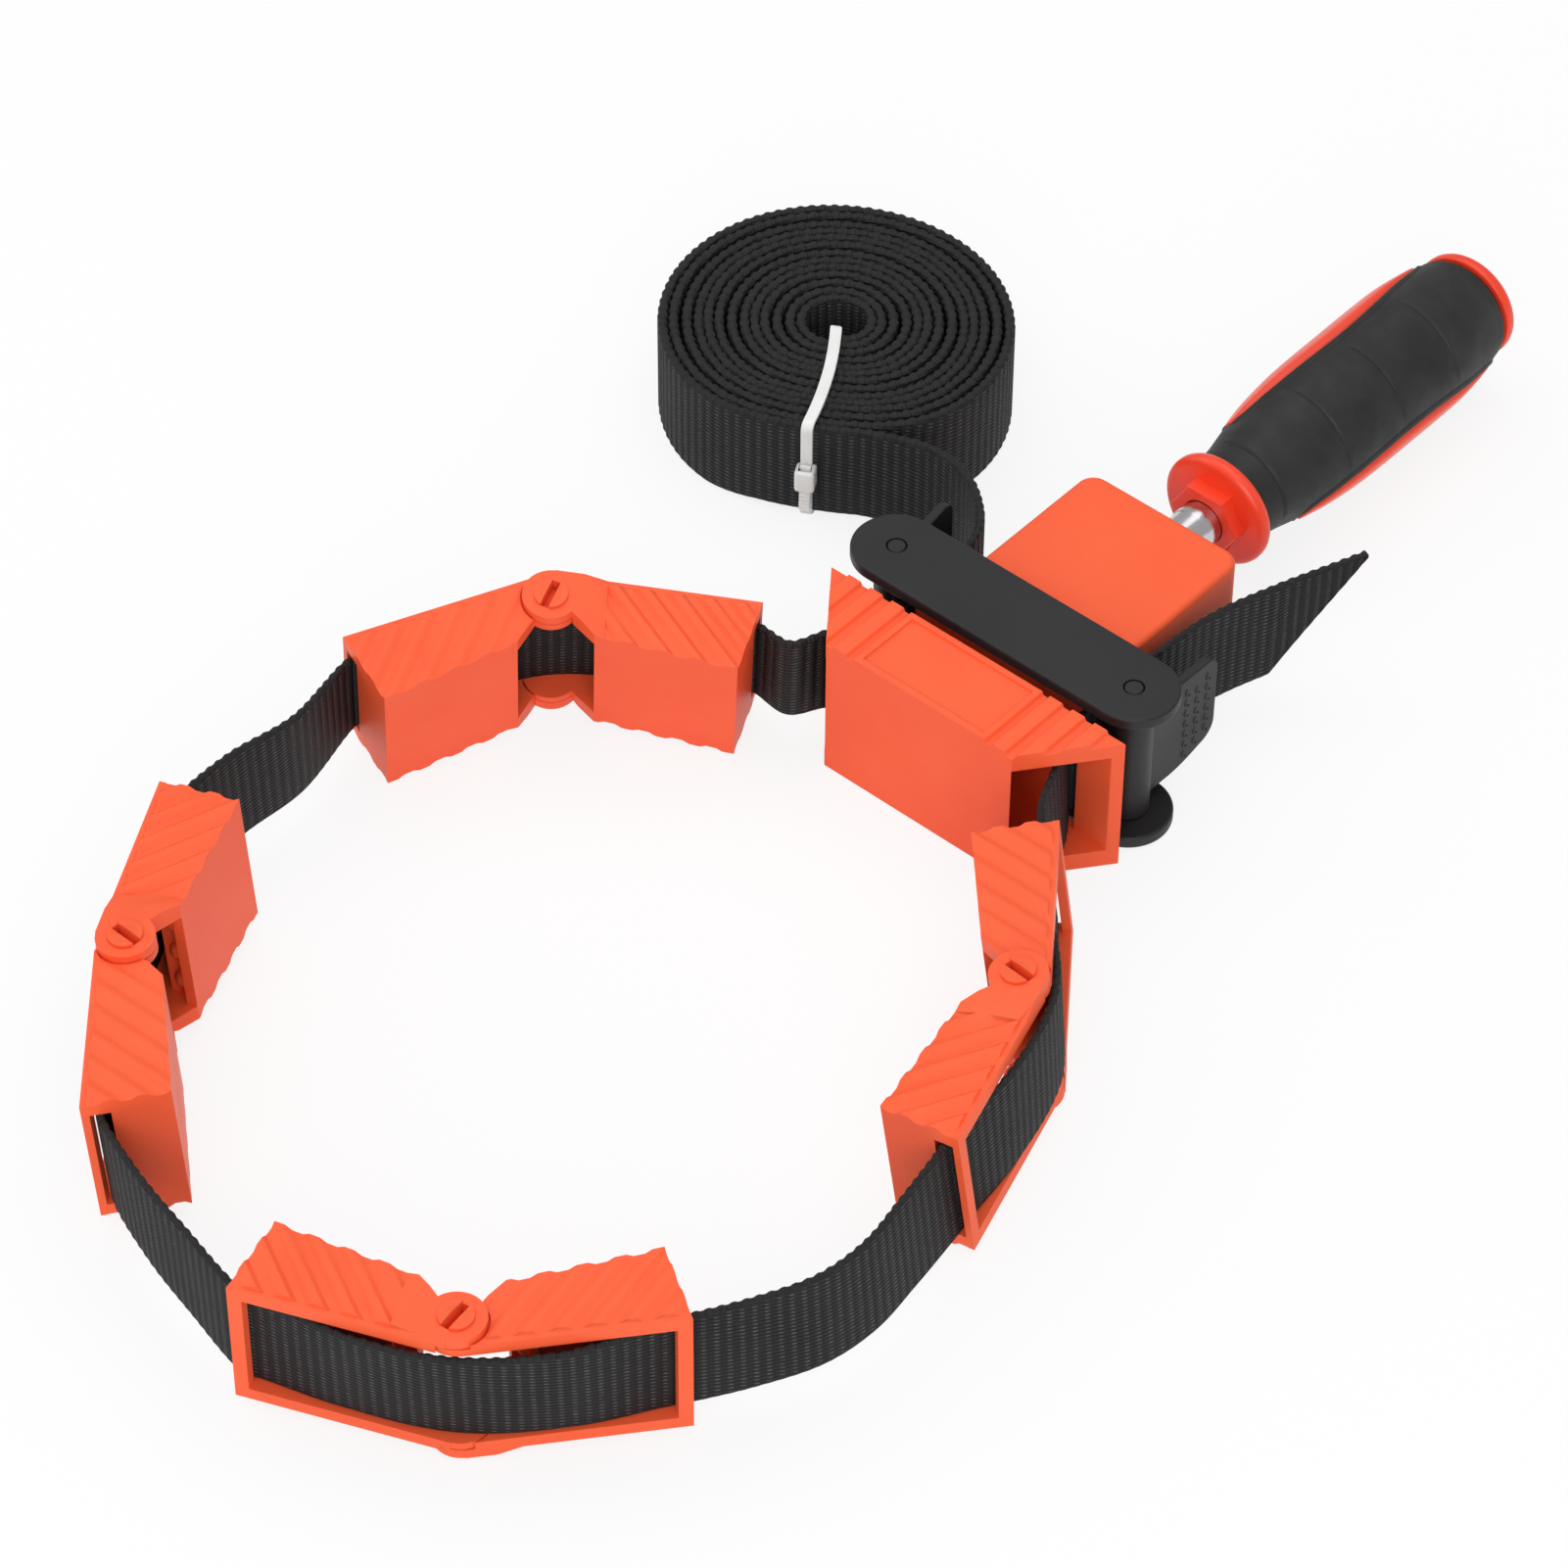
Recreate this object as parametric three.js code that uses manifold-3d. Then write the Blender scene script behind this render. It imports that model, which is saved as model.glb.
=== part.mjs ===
// Band clamp with a screw tensioner.
// A strap runs through four hinged corner jaws and through a front block to a carriage that grips both
// of its ends under cam levers. Turning the handle draws the carriage back from the block.
// Lengths are in millimetres. Z is up, X runs along the carriage plates, Y points to the handle.

import * as THREE from 'three';
import { mergeVertices } from 'three/addons/utils/BufferGeometryUtils.js';
import Module from 'manifold-3d';

const wasm = await Module();
wasm.setup();

// Clearances and working values
const gap = 0.3;
const overrun = 2;
const mergeDistance = 0.0001;
const roundSteps = 24;
const fineSteps = 32;
const quarterTurn = Math.PI / 2;
const halfTurn = Math.PI;
const fullTurn = Math.PI * 2;
const fullCircle = 360;
const halfCircle = 180;
const arcSteps = 6;
const smallShare = 0.001;

// Strap
const strapWidth = 25;
const strapThickness = 1.4;
const strapSeam = 0.3;
const strapMidHeight = 17.7;

// Carriage plates and their pins
const pinSpacing = 62.4;
const plateRadius = 9.6;
const plateThickness = 2.9;
const carriageHeight = 36.8;
const plateEdgeChamfer = 0.5;
const pinRadius = 2.2;

// Rear block between and behind the plates
const axisHeight = 18.6;
const rearHalfWidth = 20.2;
const rearHeight = 22.8;
const rearBack = 50;
const rearNeckFront = -4;
const rearNeckBack = 11;
const rearNeckHalfWidth = 22.9;
const rearCornerRadius = 4;
const rearEdgeRadius = 2.4;
const rearEdgeSteps = 3;

// Front block
const blockHeight = 35.2;
const blockFront = -30;
const blockBack = -11.7;
const blockFrontHalfWidth = 24.4;
const blockBackHalfWidth = 38.7;
const blockCapThickness = 4.4;
const blockFrontWall = 2;
const blockBackWall = 2.2;
const blockMouthRun = 3;
const blockRidgeHeight = 0.9;
const blockRidgePitch = 5.75;
const blockRidgeTop = 3.2;
const blockRidgeSlope = 0.4;
const blockRidgeStart = 18.8;
const blockRidgeCount = 3;
const panelHalfWidth = 15.8;
const panelRim = 1.4;
const panelFrontMargin = 1.6;
const panelBackMargin = 1.4;
const panelDepth = 0.6;
const blockSlotInner = 22.4;
const blockSlotOuter = 28.4;
const blockSlotHeight = 26.2;

// Spindle and its swivel end in the front block
const spindleRadius = 5;
const spindleEnd = 96;
const journalRadius = 3;
const swivelHeadRadius = 4.8;
const swivelHeadLength = 3.2;
const spindleTipChamfer = 0.8;

// Handle, stations along its axis
const hexFront = 63;
const hexFlats = 15;
const hexLength = 3.4;
const hexSides = 6;
const flangeRadius = 13.2;
const flangeThickness = 3.6;
const flangeEdge = 0.8;
const gripStations = [
  [70.3, 10.6],
  [76, 10.8],
  [82, 12],
  [86, 12.8],
  [92, 13.8],
  [103, 14.7],
  [121, 14.9],
  [131, 14.9],
  [138, 14.7],
  [147, 13.6],
  [150.4, 12.9],
  [153.6, 12.3],
];
const gripWall = 2.6;
const gripEndWall = 3.4;
const windowStart = 84;
const windowEnd = 149;
const windowHalfWidth = 7.4;
const windowAngles = [-35, 145];
const windowProud = 0.35;
const windowEase = 0.8;
const windowSteps = 14;
const capStations = [
  [153.9, 12.4],
  [155.7, 12.3],
  [156.8, 11.7],
  [157.4, 10.6],
];
const capEnd = 157.8;
const capStemRadius = 6;
const capStemLength = 9;

// Cam levers
const hubRadius = 4.6;
const lobeOffset = 1.7;
const lobeRadius = 4.3;
const leverReach = 24;
const leverThickness = 2.2;
const leverOffset = 1.7;
const leverTop = 30.6;
const leverBottom = 3.6;
const leverOuterBottom = 10;
const leverChamferStart = 8;
const leverCornerRadius = 2.6;
const leverCornerSteps = 4;
const leverSplay = { right: 1, left: 9 };

// Corner jaws, one moulding used eight times
const jawHeight = 31;
const jawPlate = 2.8;
const jawInnerWall = 2.2;
const jawEndWall = 2.8;
const jawOuterEnd = [43.1, 1.6];
const jawInnerEnd = [38.6, -15.3];
const jawInnerNear = [9.3, -8.8];
const jawOuterNear = 6.05;
const jawNearOffset = 0.5;
const jawSlot = [-3.9, 0.1];
const jawSlotHeight = 25.4;
const crossWallPlace = 13.4;
const crossWallThickness = 1.4;
const crossWallOuter = -3;
const earRadius = 5.9;
const earSweep = 6.3;
const outerEarThickness = 2.3;
const outerEarRise = 1.5;
const innerEarThickness = 1.7;
const earHoleRadius = 3.35;
const snapPinRadius = 3.05;
const snapLipRadius = 3.5;
const snapLipGap = 0.15;
const snapLipHeight = 0.55;
const snapSlotWidth = 1.8;
const snapSlotAngle = -52;
const snapSlotDepth = 3.6;
const rampNear = 6.6;
const rampFar = 11.4;
const rampEnd = 13;

// Jaw places: the pivot at the middle of its height, the direction of each half from it in degrees, and
// which half folds. The lean is how far the jaw's top, and the strap's top in it, stand in towards the
// ring, in degrees, and the belly is how far the strap stands out at the right half, the pin and the left.
const jaws = [
  {
    name: 'jaw_1',
    pivot: [-77.3, -54.9, 19.9],
    way: { left: 237.3, right: 39.2 },
    fold: 'left',
    lean: { jaw: 12.4, strap: 10.5 },
    belly: [0.3, 0.5, 0.3],
  },
  {
    name: 'jaw_2',
    pivot: [-70.9, -180.5, 19.6],
    way: { left: 305.8, right: 124.6 },
    fold: 'left',
    lean: { jaw: -3.4, strap: -3.4 },
    belly: [1.4, 2.2, 1.4],
  },
  {
    name: 'jaw_3',
    pivot: [39.7, -206.8, 17.7],
    way: { left: 44.3, right: 208.7 },
    fold: 'left',
    lean: { jaw: 0, strap: -7 },
    belly: [3.6, 4.6, 4.2],
  },
  {
    name: 'jaw_4',
    pivot: [64.2, -72.7, 18.2],
    way: { left: 121.2, right: 292.1 },
    fold: 'right',
    lean: { jaw: 7.5, strap: 4 },
    belly: [4.4, 6, 2.4],
  },
];
const strapSlotPlace = [42.3, -1.9];
const strapSlotInside = [39.4, -1.3];
const bellyStation = 20;

// Strap plan points outside the jaws, each list in order along the strap
const gripLine = 24;
const carriageEnd = -9;
const spanLeftOne = [[-94.3, -112], [-95.2, -129]];
const spanMiddle = [[-29.5, -219], [-15, -222.3]];
const spanRight = [[75.2, -165], [80.9, -152.5], [82.4, -140.5], [80.8, -127.5]];
const blockRunRight = [[34.8, -31.2], [31.4, -24.4], [28.3, -18], [25, -12.6]];
const blockRunLeft = [[-34.8, -29.4], [-31.2, -23], [-28.2, -17.6], [-25, -12.6]];
const tailPoints = [[24, 0], [24, 9], [24.4, 19], [26, 33], [30.6, 48], [38.5, 67.8]];
const tailCutLength = 22;
const tailTipHeight = 0.8;
const leadPoints = [
  [-24, 0],
  [-24.1, 10],
  [-27, 21.5],
  [-33.6, 29.2],
  [-42.4, 35],
  [-52.6, 37],
  [-62.4, 34.2],
];
const leadSteps = 26;
const leadDrop = { from: 0.1, to: 0.8 };
const spanSteps = 12;
const jawStrapSteps = 16;

// Coil of spare strap
const coilCentre = [-94.4, 55.3];
const coilRadius = 39;
const coilRoundness = 0.972;
const coilPitch = 2.5;
const coilTurns = 13;
const coilStepsPerTurn = 24;
const coilStart = -53;
const coilPinch = 3.6;
const coilPinchSpread = 32;
const coilLift = 1.7;
const coilLiftReach = 11;

// Cable tie around the coil
const tieAngle = -60;
const tieWidth = 2.5;
const tieThickness = 1.1;
const tieInner = 2.6;
const tieOuter = 35.6;
const tieCorner = 0.56;
const tieCornerSteps = 3;
const tieHeadSize = [4.6, 4.2, 5.6];
const tieHeadHeight = 9.5;
const tieTailLength = 6.5;
const tieTailStandOff = 1.2;

// Materials
function plastic(name, color, roughness) {
  return new THREE.MeshStandardMaterial({ name, color, roughness, metalness: 0 });
}
const orangePlastic = plastic('orange_plastic', 0xf04a1c, 0.45);
const blackPlastic = plastic('black_plastic', 0x252427, 0.5);
const blackRubber = plastic('black_rubber', 0x1c1c1e, 0.75);
const webbing = plastic('webbing', 0x17171a, 0.9);
const whiteNylon = plastic('white_nylon', 0xf2f2ee, 0.5);
const steel = plastic('steel', 0xc9cbce, 0.25);
steel.metalness = 1;

// Solid helpers
function toSolid(geometry) {
  const bare = geometry.clone();
  bare.deleteAttribute('normal');
  bare.deleteAttribute('uv');
  const merged = mergeVertices(bare, mergeDistance);
  const vertProperties = Float32Array.from(merged.attributes.position.array);
  const triVerts = Uint32Array.from(merged.index.array);
  return new wasm.Manifold(new wasm.Mesh({ numProp: 3, vertProperties, triVerts }));
}

function toGeometry(solid) {
  const mesh = solid.getMesh();
  const geometry = new THREE.BufferGeometry();
  geometry.setAttribute('position', new THREE.BufferAttribute(Float32Array.from(mesh.vertProperties), 3));
  geometry.setIndex(new THREE.BufferAttribute(Uint32Array.from(mesh.triVerts), 1));
  return geometry;
}

function join(solids) {
  return solids.reduce((sum, solid) => sum.add(solid));
}

function cut(solid, tools) {
  return tools.reduce((rest, tool) => rest.subtract(tool), solid);
}

const upright = new THREE.Vector3(0, 0, 1);
const model = new THREE.Group();

function addPart(name, geometry, material) {
  const flat = geometry.index ? geometry.toNonIndexed() : geometry;
  flat.computeVertexNormals();
  const mesh = new THREE.Mesh(flat, material);
  mesh.name = name;
  model.add(mesh);
  return mesh;
}

// Upright prism over a plan outline
function prism(outline, low, high) {
  const shape = new THREE.Shape(outline.map(([x, y]) => new THREE.Vector2(x, y)));
  const geometry = new THREE.ExtrudeGeometry(shape, { depth: high - low, bevelEnabled: false });
  geometry.translate(0, 0, low);
  return geometry;
}

// Upright cylinder
function post(radius, low, high, x = 0, y = 0, steps = roundSteps) {
  const geometry = new THREE.CylinderGeometry(radius, radius, high - low, steps);
  geometry.rotateX(quarterTurn);
  geometry.translate(x, y, (low + high) / 2);
  return geometry;
}

// Turned solid about the handle axis, from [station, radius] pairs that start and end at radius zero
function turned(profile, steps = fineSteps) {
  const points = profile.map(([station, radius]) => new THREE.Vector2(radius, station));
  const geometry = new THREE.LatheGeometry(points, steps);
  geometry.translate(0, 0, axisHeight);
  return geometry;
}

function box(low, high) {
  const size = high.map((value, i) => value - low[i]);
  const geometry = new THREE.BoxGeometry(...size);
  geometry.translate(...high.map((value, i) => (value + low[i]) / 2));
  return geometry;
}

function along(degrees) {
  const angle = THREE.MathUtils.degToRad(degrees);
  return new THREE.Vector2(Math.cos(angle), Math.sin(angle));
}

// Band through stations {spot, way, up, low, high}: a long box whose rows are moved to the stations.
// A station without a way of its own takes it from its neighbours, and one without an up stands upright.
function band(stations) {
  const last = stations.length - 1;
  const geometry = new THREE.BoxGeometry(last, strapThickness, 1, last, 1, 1);
  const spots = geometry.attributes.position;
  for (let i = 0; i < spots.count; i += 1) {
    const row = Math.round(spots.getX(i) + last / 2);
    const here = stations[row];
    const before = stations[Math.max(row - 1, 0)];
    const after = stations[Math.min(row + 1, last)];
    const way = here.way ?? after.spot.clone().sub(before.spot).setZ(0);
    const up = here.up ?? upright;
    const side = up.clone().cross(way).normalize();
    const height = spots.getZ(i) > 0 ? here.high : here.low;
    const place = here.spot.clone().addScaledVector(side, spots.getY(i)).addScaledVector(up, height);
    spots.setXYZ(i, place.x, place.y, place.z);
  }
  return geometry;
}

function smoothLine(points) {
  return new THREE.CatmullRomCurve3(points.map((point) => point.spot), false, 'centripetal');
}

// Points of a strap's line: upright ones in plan, and ones that pass from one point's stance to another's
function standing(plan, height = 0) {
  return plan.map(([x, y]) => ({ spot: new THREE.Vector3(x, y, height), up: upright }));
}

function passing(plan, before, after) {
  return plan.map(([x, y], i) => {
    const share = (i + 1) / (plan.length + 1);
    const height = THREE.MathUtils.lerp(before.spot.z, after.spot.z, share);
    return { spot: new THREE.Vector3(x, y, height), up: before.up.clone().lerp(after.up, share).normalize() };
  });
}

// Stations at even steps along a smooth line between two of its points, each end held back by half a seam
function lineStations(points, from, to, steps, levels) {
  const curve = smoothLine(points);
  const spans = points.length - 1;
  const small = smallShare / spans;
  const hold = (t, sense) => {
    const speed = curve.getPoint(t).distanceTo(curve.getPoint(t + sense * small)) / small;
    return t + (sense * strapSeam) / 2 / speed;
  };
  const start = hold(from / spans, 1);
  const end = hold(to / spans, -1);
  const stations = [];
  for (let i = 0; i <= steps; i += 1) {
    const share = i / steps;
    const t = start + (end - start) * share;
    const index = Math.min(Math.floor(t * spans), spans - 1);
    const up = points[index].up.clone().lerp(points[index + 1].up, t * spans - index).normalize();
    const way = curve.getPoint(t + small).sub(curve.getPoint(t - small)).normalize();
    stations.push({ spot: curve.getPoint(t), way, up, ...levels(share) });
  }
  return stations;
}

const acrossStrap = () => ({ low: -strapWidth / 2, high: strapWidth / 2 });

// Carriage plates: two stadiums on the lever pins
function plateOutline(radius) {
  const outline = [];
  for (const side of [1, -1]) {
    for (let i = 0; i <= roundSteps / 2; i += 1) {
      const angle = -quarterTurn * side + (halfTurn * i) / (roundSteps / 2);
      const x = (side * pinSpacing) / 2 + radius * Math.cos(angle);
      outline.push([x, radius * Math.sin(angle)]);
    }
  }
  return outline;
}

function carriagePlate(low) {
  const high = low + plateThickness;
  const outline = plateOutline(plateRadius - plateEdgeChamfer);
  const shape = new THREE.Shape(outline.map(([x, y]) => new THREE.Vector2(x, y)));
  const slab = new THREE.ExtrudeGeometry(shape, {
    depth: plateThickness - 2 * plateEdgeChamfer,
    bevelEnabled: true,
    bevelThickness: plateEdgeChamfer,
    bevelSize: plateEdgeChamfer,
    bevelSegments: 1,
  });
  slab.translate(0, 0, low + plateEdgeChamfer);
  const holes = [1, -1].map((side) =>
    toSolid(post(pinRadius + gap, low - overrun, high + overrun, (side * pinSpacing) / 2, 0)),
  );
  return toGeometry(cut(toSolid(slab), holes));
}

// Rear block: a rounded body behind the plates and a wider neck between them
function rearBlock() {
  const inset = rearEdgeRadius;
  const half = rearHalfWidth - inset;
  const back = rearBack - inset;
  const corner = rearCornerRadius - inset;
  const shape = new THREE.Shape();
  shape.moveTo(-half, rearNeckBack - overrun);
  shape.lineTo(half, rearNeckBack - overrun);
  shape.lineTo(half, back - corner);
  shape.absarc(half - corner, back - corner, corner, 0, quarterTurn, false);
  shape.lineTo(-half + corner, back);
  shape.absarc(-half + corner, back - corner, corner, quarterTurn, halfTurn, false);
  shape.closePath();
  const body = new THREE.ExtrudeGeometry(shape, {
    depth: rearHeight - 2 * inset,
    bevelEnabled: true,
    bevelThickness: inset,
    bevelSize: inset,
    bevelSegments: rearEdgeSteps,
    curveSegments: arcSteps,
  });
  body.translate(0, 0, axisHeight - rearHeight / 2 + inset);
  const neck = box(
    [-rearNeckHalfWidth, rearNeckFront, plateThickness + gap],
    [rearNeckHalfWidth, rearNeckBack, carriageHeight - plateThickness - gap],
  );
  const bore = turned([
    [rearNeckFront - overrun, 0],
    [rearNeckFront - overrun, spindleRadius + gap],
    [rearBack + overrun, spindleRadius + gap],
    [rearBack + overrun, 0],
  ]);
  return toGeometry(cut(join([toSolid(body), toSolid(neck)]), [toSolid(bore)]));
}

// Front block: a tunnel with slanted open ends, a ridged top and strap slots in its back wall
function blockTopProfile() {
  const valley = blockHeight - blockRidgeHeight;
  const side = [];
  for (let i = 0; i < blockRidgeCount; i += 1) {
    const foot = blockRidgeStart + i * blockRidgePitch;
    side.push([foot, valley]);
    side.push([foot + blockRidgeSlope, blockHeight]);
    side.push([foot + blockRidgeSlope + blockRidgeTop, blockHeight]);
    side.push([foot + 2 * blockRidgeSlope + blockRidgeTop, valley]);
  }
  const rimEnd = panelHalfWidth + panelRim;
  const rim = [
    [rimEnd, blockHeight],
    [rimEnd + blockRidgeSlope, valley],
    ...side,
    [blockBackHalfWidth + overrun, valley],
  ];
  const right = [[blockBackHalfWidth + overrun, 0], ...rim.slice().reverse()];
  const left = rim.map(([x, z]) => [-x, z]);
  return [[-blockBackHalfWidth - overrun, 0], ...right, ...left];
}

function frontBlock() {
  const plan = [
    [-blockFrontHalfWidth, blockFront],
    [blockFrontHalfWidth, blockFront],
    [blockBackHalfWidth, blockBack],
    [-blockBackHalfWidth, blockBack],
  ];
  const tunnel = box(
    [-blockBackHalfWidth - overrun, blockFront + blockFrontWall, blockCapThickness],
    [blockBackHalfWidth + overrun, blockBack - blockBackWall, blockHeight - blockCapThickness],
  );
  const slots = [1, -1].map((side) => {
    const across = [side * blockSlotInner, side * blockSlotOuter].sort((a, b) => a - b);
    const low = strapMidHeight - blockSlotHeight / 2;
    const high = low + blockSlotHeight;
    return toSolid(
      box([across[0], blockBack - blockBackWall - overrun, low], [across[1], blockBack + overrun, high]),
    );
  });
  const mouths = [1, -1].map((side) => {
    const corner = [side * blockFrontHalfWidth, blockFront];
    const inside = [side * (blockFrontHalfWidth - blockFrontWall), blockFront + blockFrontWall + gap];
    const outside = [side * (blockFrontHalfWidth + blockMouthRun), blockFront + blockFrontWall + gap];
    const outline = side > 0 ? [corner, outside, inside] : [corner, inside, outside];
    return toSolid(prism(outline, blockCapThickness, blockHeight - blockCapThickness));
  });
  const panel = box(
    [-panelHalfWidth, blockFront + panelFrontMargin, blockHeight - panelDepth],
    [panelHalfWidth, blockBack - panelBackMargin, blockHeight + overrun],
  );
  const journalHole = turned([
    [blockBack - blockBackWall - overrun, 0],
    [blockBack - blockBackWall - overrun, journalRadius + gap],
    [blockBack + overrun, journalRadius + gap],
    [blockBack + overrun, 0],
  ]);
  const tools = [toSolid(tunnel), ...slots, ...mouths, toSolid(panel), toSolid(journalHole)];
  return toGeometry(cut(topped(plan), tools));
}

function topped(plan) {
  const shape = new THREE.Shape(blockTopProfile().map(([x, z]) => new THREE.Vector2(x, z)));
  const depth = blockBack - blockFront + 2 * overrun;
  const ridged = new THREE.ExtrudeGeometry(shape, { depth, bevelEnabled: false });
  ridged.rotateX(quarterTurn);
  ridged.translate(0, blockBack + overrun, 0);
  return toSolid(prism(plan, 0, blockHeight)).intersect(toSolid(ridged));
}

// Spindle with a swivel head held in the block's back wall
function spindle() {
  const wallFront = blockBack - blockBackWall - gap;
  return turned([
    [wallFront - swivelHeadLength, 0],
    [wallFront - swivelHeadLength, swivelHeadRadius - spindleTipChamfer],
    [wallFront - swivelHeadLength + spindleTipChamfer, swivelHeadRadius],
    [wallFront, swivelHeadRadius],
    [wallFront, journalRadius],
    [blockBack + gap, journalRadius],
    [blockBack + gap, spindleRadius],
    [spindleEnd, spindleRadius],
    [spindleEnd, 0],
  ]);
}

// Handle core: hexagon, flange, body under the grip and the two panels that show through it
function gripProfile(grow) {
  const first = gripStations[0];
  const last = gripStations[gripStations.length - 1];
  return [[first[0], 0], ...gripStations.map(([station, radius]) => [station, radius + grow]), [last[0], 0]];
}

function windowPrism(angle, ease) {
  const middle = (windowStart + windowEnd) / 2;
  const reach = (windowEnd - windowStart) / 2 + ease;
  const shape = new THREE.Shape();
  shape.absellipse(0, middle, windowHalfWidth + ease, reach, 0, fullTurn, false, 0);
  const depth = flangeRadius + overrun + overrun;
  const settings = { depth, bevelEnabled: false, curveSegments: windowSteps };
  const geometry = new THREE.ExtrudeGeometry(shape, settings);
  geometry.rotateY(quarterTurn - THREE.MathUtils.degToRad(angle));
  geometry.translate(0, 0, axisHeight);
  return toSolid(geometry);
}

function coreProfile(grow) {
  const first = gripStations[0][0];
  const last = gripStations[gripStations.length - 1][0];
  const inner = gripStations
    .filter(([station]) => station > first && station < last - gripEndWall)
    .map(([station, radius]) => [station, radius - gripWall + grow]);
  const firstRadius = inner[0][1];
  const lastRadius = inner[inner.length - 1][1];
  return [
    [first - overrun, 0],
    [first - overrun, firstRadius],
    ...inner,
    [last - gripEndWall + grow, lastRadius],
    [last - gripEndWall + grow, 0],
  ];
}

function handleCore() {
  const flangeFront = hexFront + hexLength;
  const flangeBack = flangeFront + flangeThickness;
  const hexAngle = halfTurn / hexSides;
  const hexCorner = hexFlats / 2 / Math.cos(hexAngle);
  const hex = new THREE.CylinderGeometry(hexCorner, hexCorner, hexLength + flangeThickness, hexSides);
  hex.rotateY(hexAngle);
  hex.translate(0, hexFront + (hexLength + flangeThickness) / 2, axisHeight);
  const flange = turned([
    [flangeFront, 0],
    [flangeFront, flangeRadius - flangeEdge],
    [flangeFront + flangeEdge, flangeRadius],
    [flangeBack - flangeEdge, flangeRadius],
    [flangeBack, flangeRadius - flangeEdge],
    [flangeBack, 0],
  ]);
  const inside = toSolid(turned(coreProfile(0)));
  const skin = toSolid(turned(gripProfile(windowProud)));
  const panels = windowAngles.map((angle) => skin.intersect(windowPrism(angle, 0)));
  const bore = toSolid(
    turned([
      [hexFront - overrun, 0],
      [hexFront - overrun, spindleRadius + gap],
      [spindleEnd + gap, spindleRadius + gap],
      [spindleEnd + gap, 0],
    ]),
  );
  const last = gripStations[gripStations.length - 1][0];
  const socket = toSolid(
    turned([
      [last - gripEndWall - capStemLength, 0],
      [last - gripEndWall - capStemLength, capStemRadius + gap],
      [last + overrun, capStemRadius + gap],
      [last + overrun, 0],
    ]),
  );
  const whole = join([toSolid(hex), toSolid(flange), inside, ...panels]);
  return toGeometry(cut(whole, [bore, socket]));
}

function handleGrip() {
  const last = gripStations[gripStations.length - 1][0];
  const skin = toSolid(turned(gripProfile(0)));
  const inside = toSolid(turned(coreProfile(gap)));
  const stemHole = toSolid(
    turned([
      [last - gripEndWall - overrun, 0],
      [last - gripEndWall - overrun, capStemRadius + gap],
      [last + overrun, capStemRadius + gap],
      [last + overrun, 0],
    ]),
  );
  const windows = windowAngles.map((angle) => windowPrism(angle, windowEase));
  return toGeometry(cut(skin, [inside, stemHole, ...windows]));
}

function handleCap() {
  const last = gripStations[gripStations.length - 1][0];
  const stemEnd = last - gripEndWall - capStemLength + gap;
  return turned([
    [stemEnd, 0],
    [stemEnd, capStemRadius],
    [capStations[0][0], capStemRadius],
    ...capStations,
    [capEnd, 0],
  ]);
}

// Cam lever: hub on the pin, a lobe towards the strap and a flat tab
function camLever(side, splay) {
  const low = plateThickness + gap;
  const high = carriageHeight - plateThickness - gap;
  const hub = post(hubRadius, low, high);
  const lobe = post(lobeRadius, low, high, -side * lobeOffset, 0);
  const outline = new THREE.Shape();
  outline.moveTo(0, leverBottom);
  outline.lineTo(leverChamferStart, leverBottom);
  outline.lineTo(leverReach, leverOuterBottom);
  outline.lineTo(leverReach, leverTop - leverCornerRadius);
  const r = leverCornerRadius;
  outline.absarc(leverReach - r, leverTop - r, r, 0, quarterTurn, false);
  outline.lineTo(0, leverTop);
  outline.closePath();
  const settings = { depth: leverThickness, bevelEnabled: false, curveSegments: leverCornerSteps };
  const tab = new THREE.ExtrudeGeometry(outline, settings);
  tab.rotateX(quarterTurn);
  tab.rotateZ(quarterTurn);
  tab.translate(side * leverOffset - leverThickness / 2, 0, 0);
  const hole = post(pinRadius + gap, low - overrun, high + overrun);
  const lever = toGeometry(cut(join([toSolid(hub), toSolid(lobe), toSolid(tab)]), [toSolid(hole)]));
  lever.rotateZ(THREE.MathUtils.degToRad(-side * splay));
  lever.translate((side * pinSpacing) / 2, 0, 0);
  return lever;
}

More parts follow.
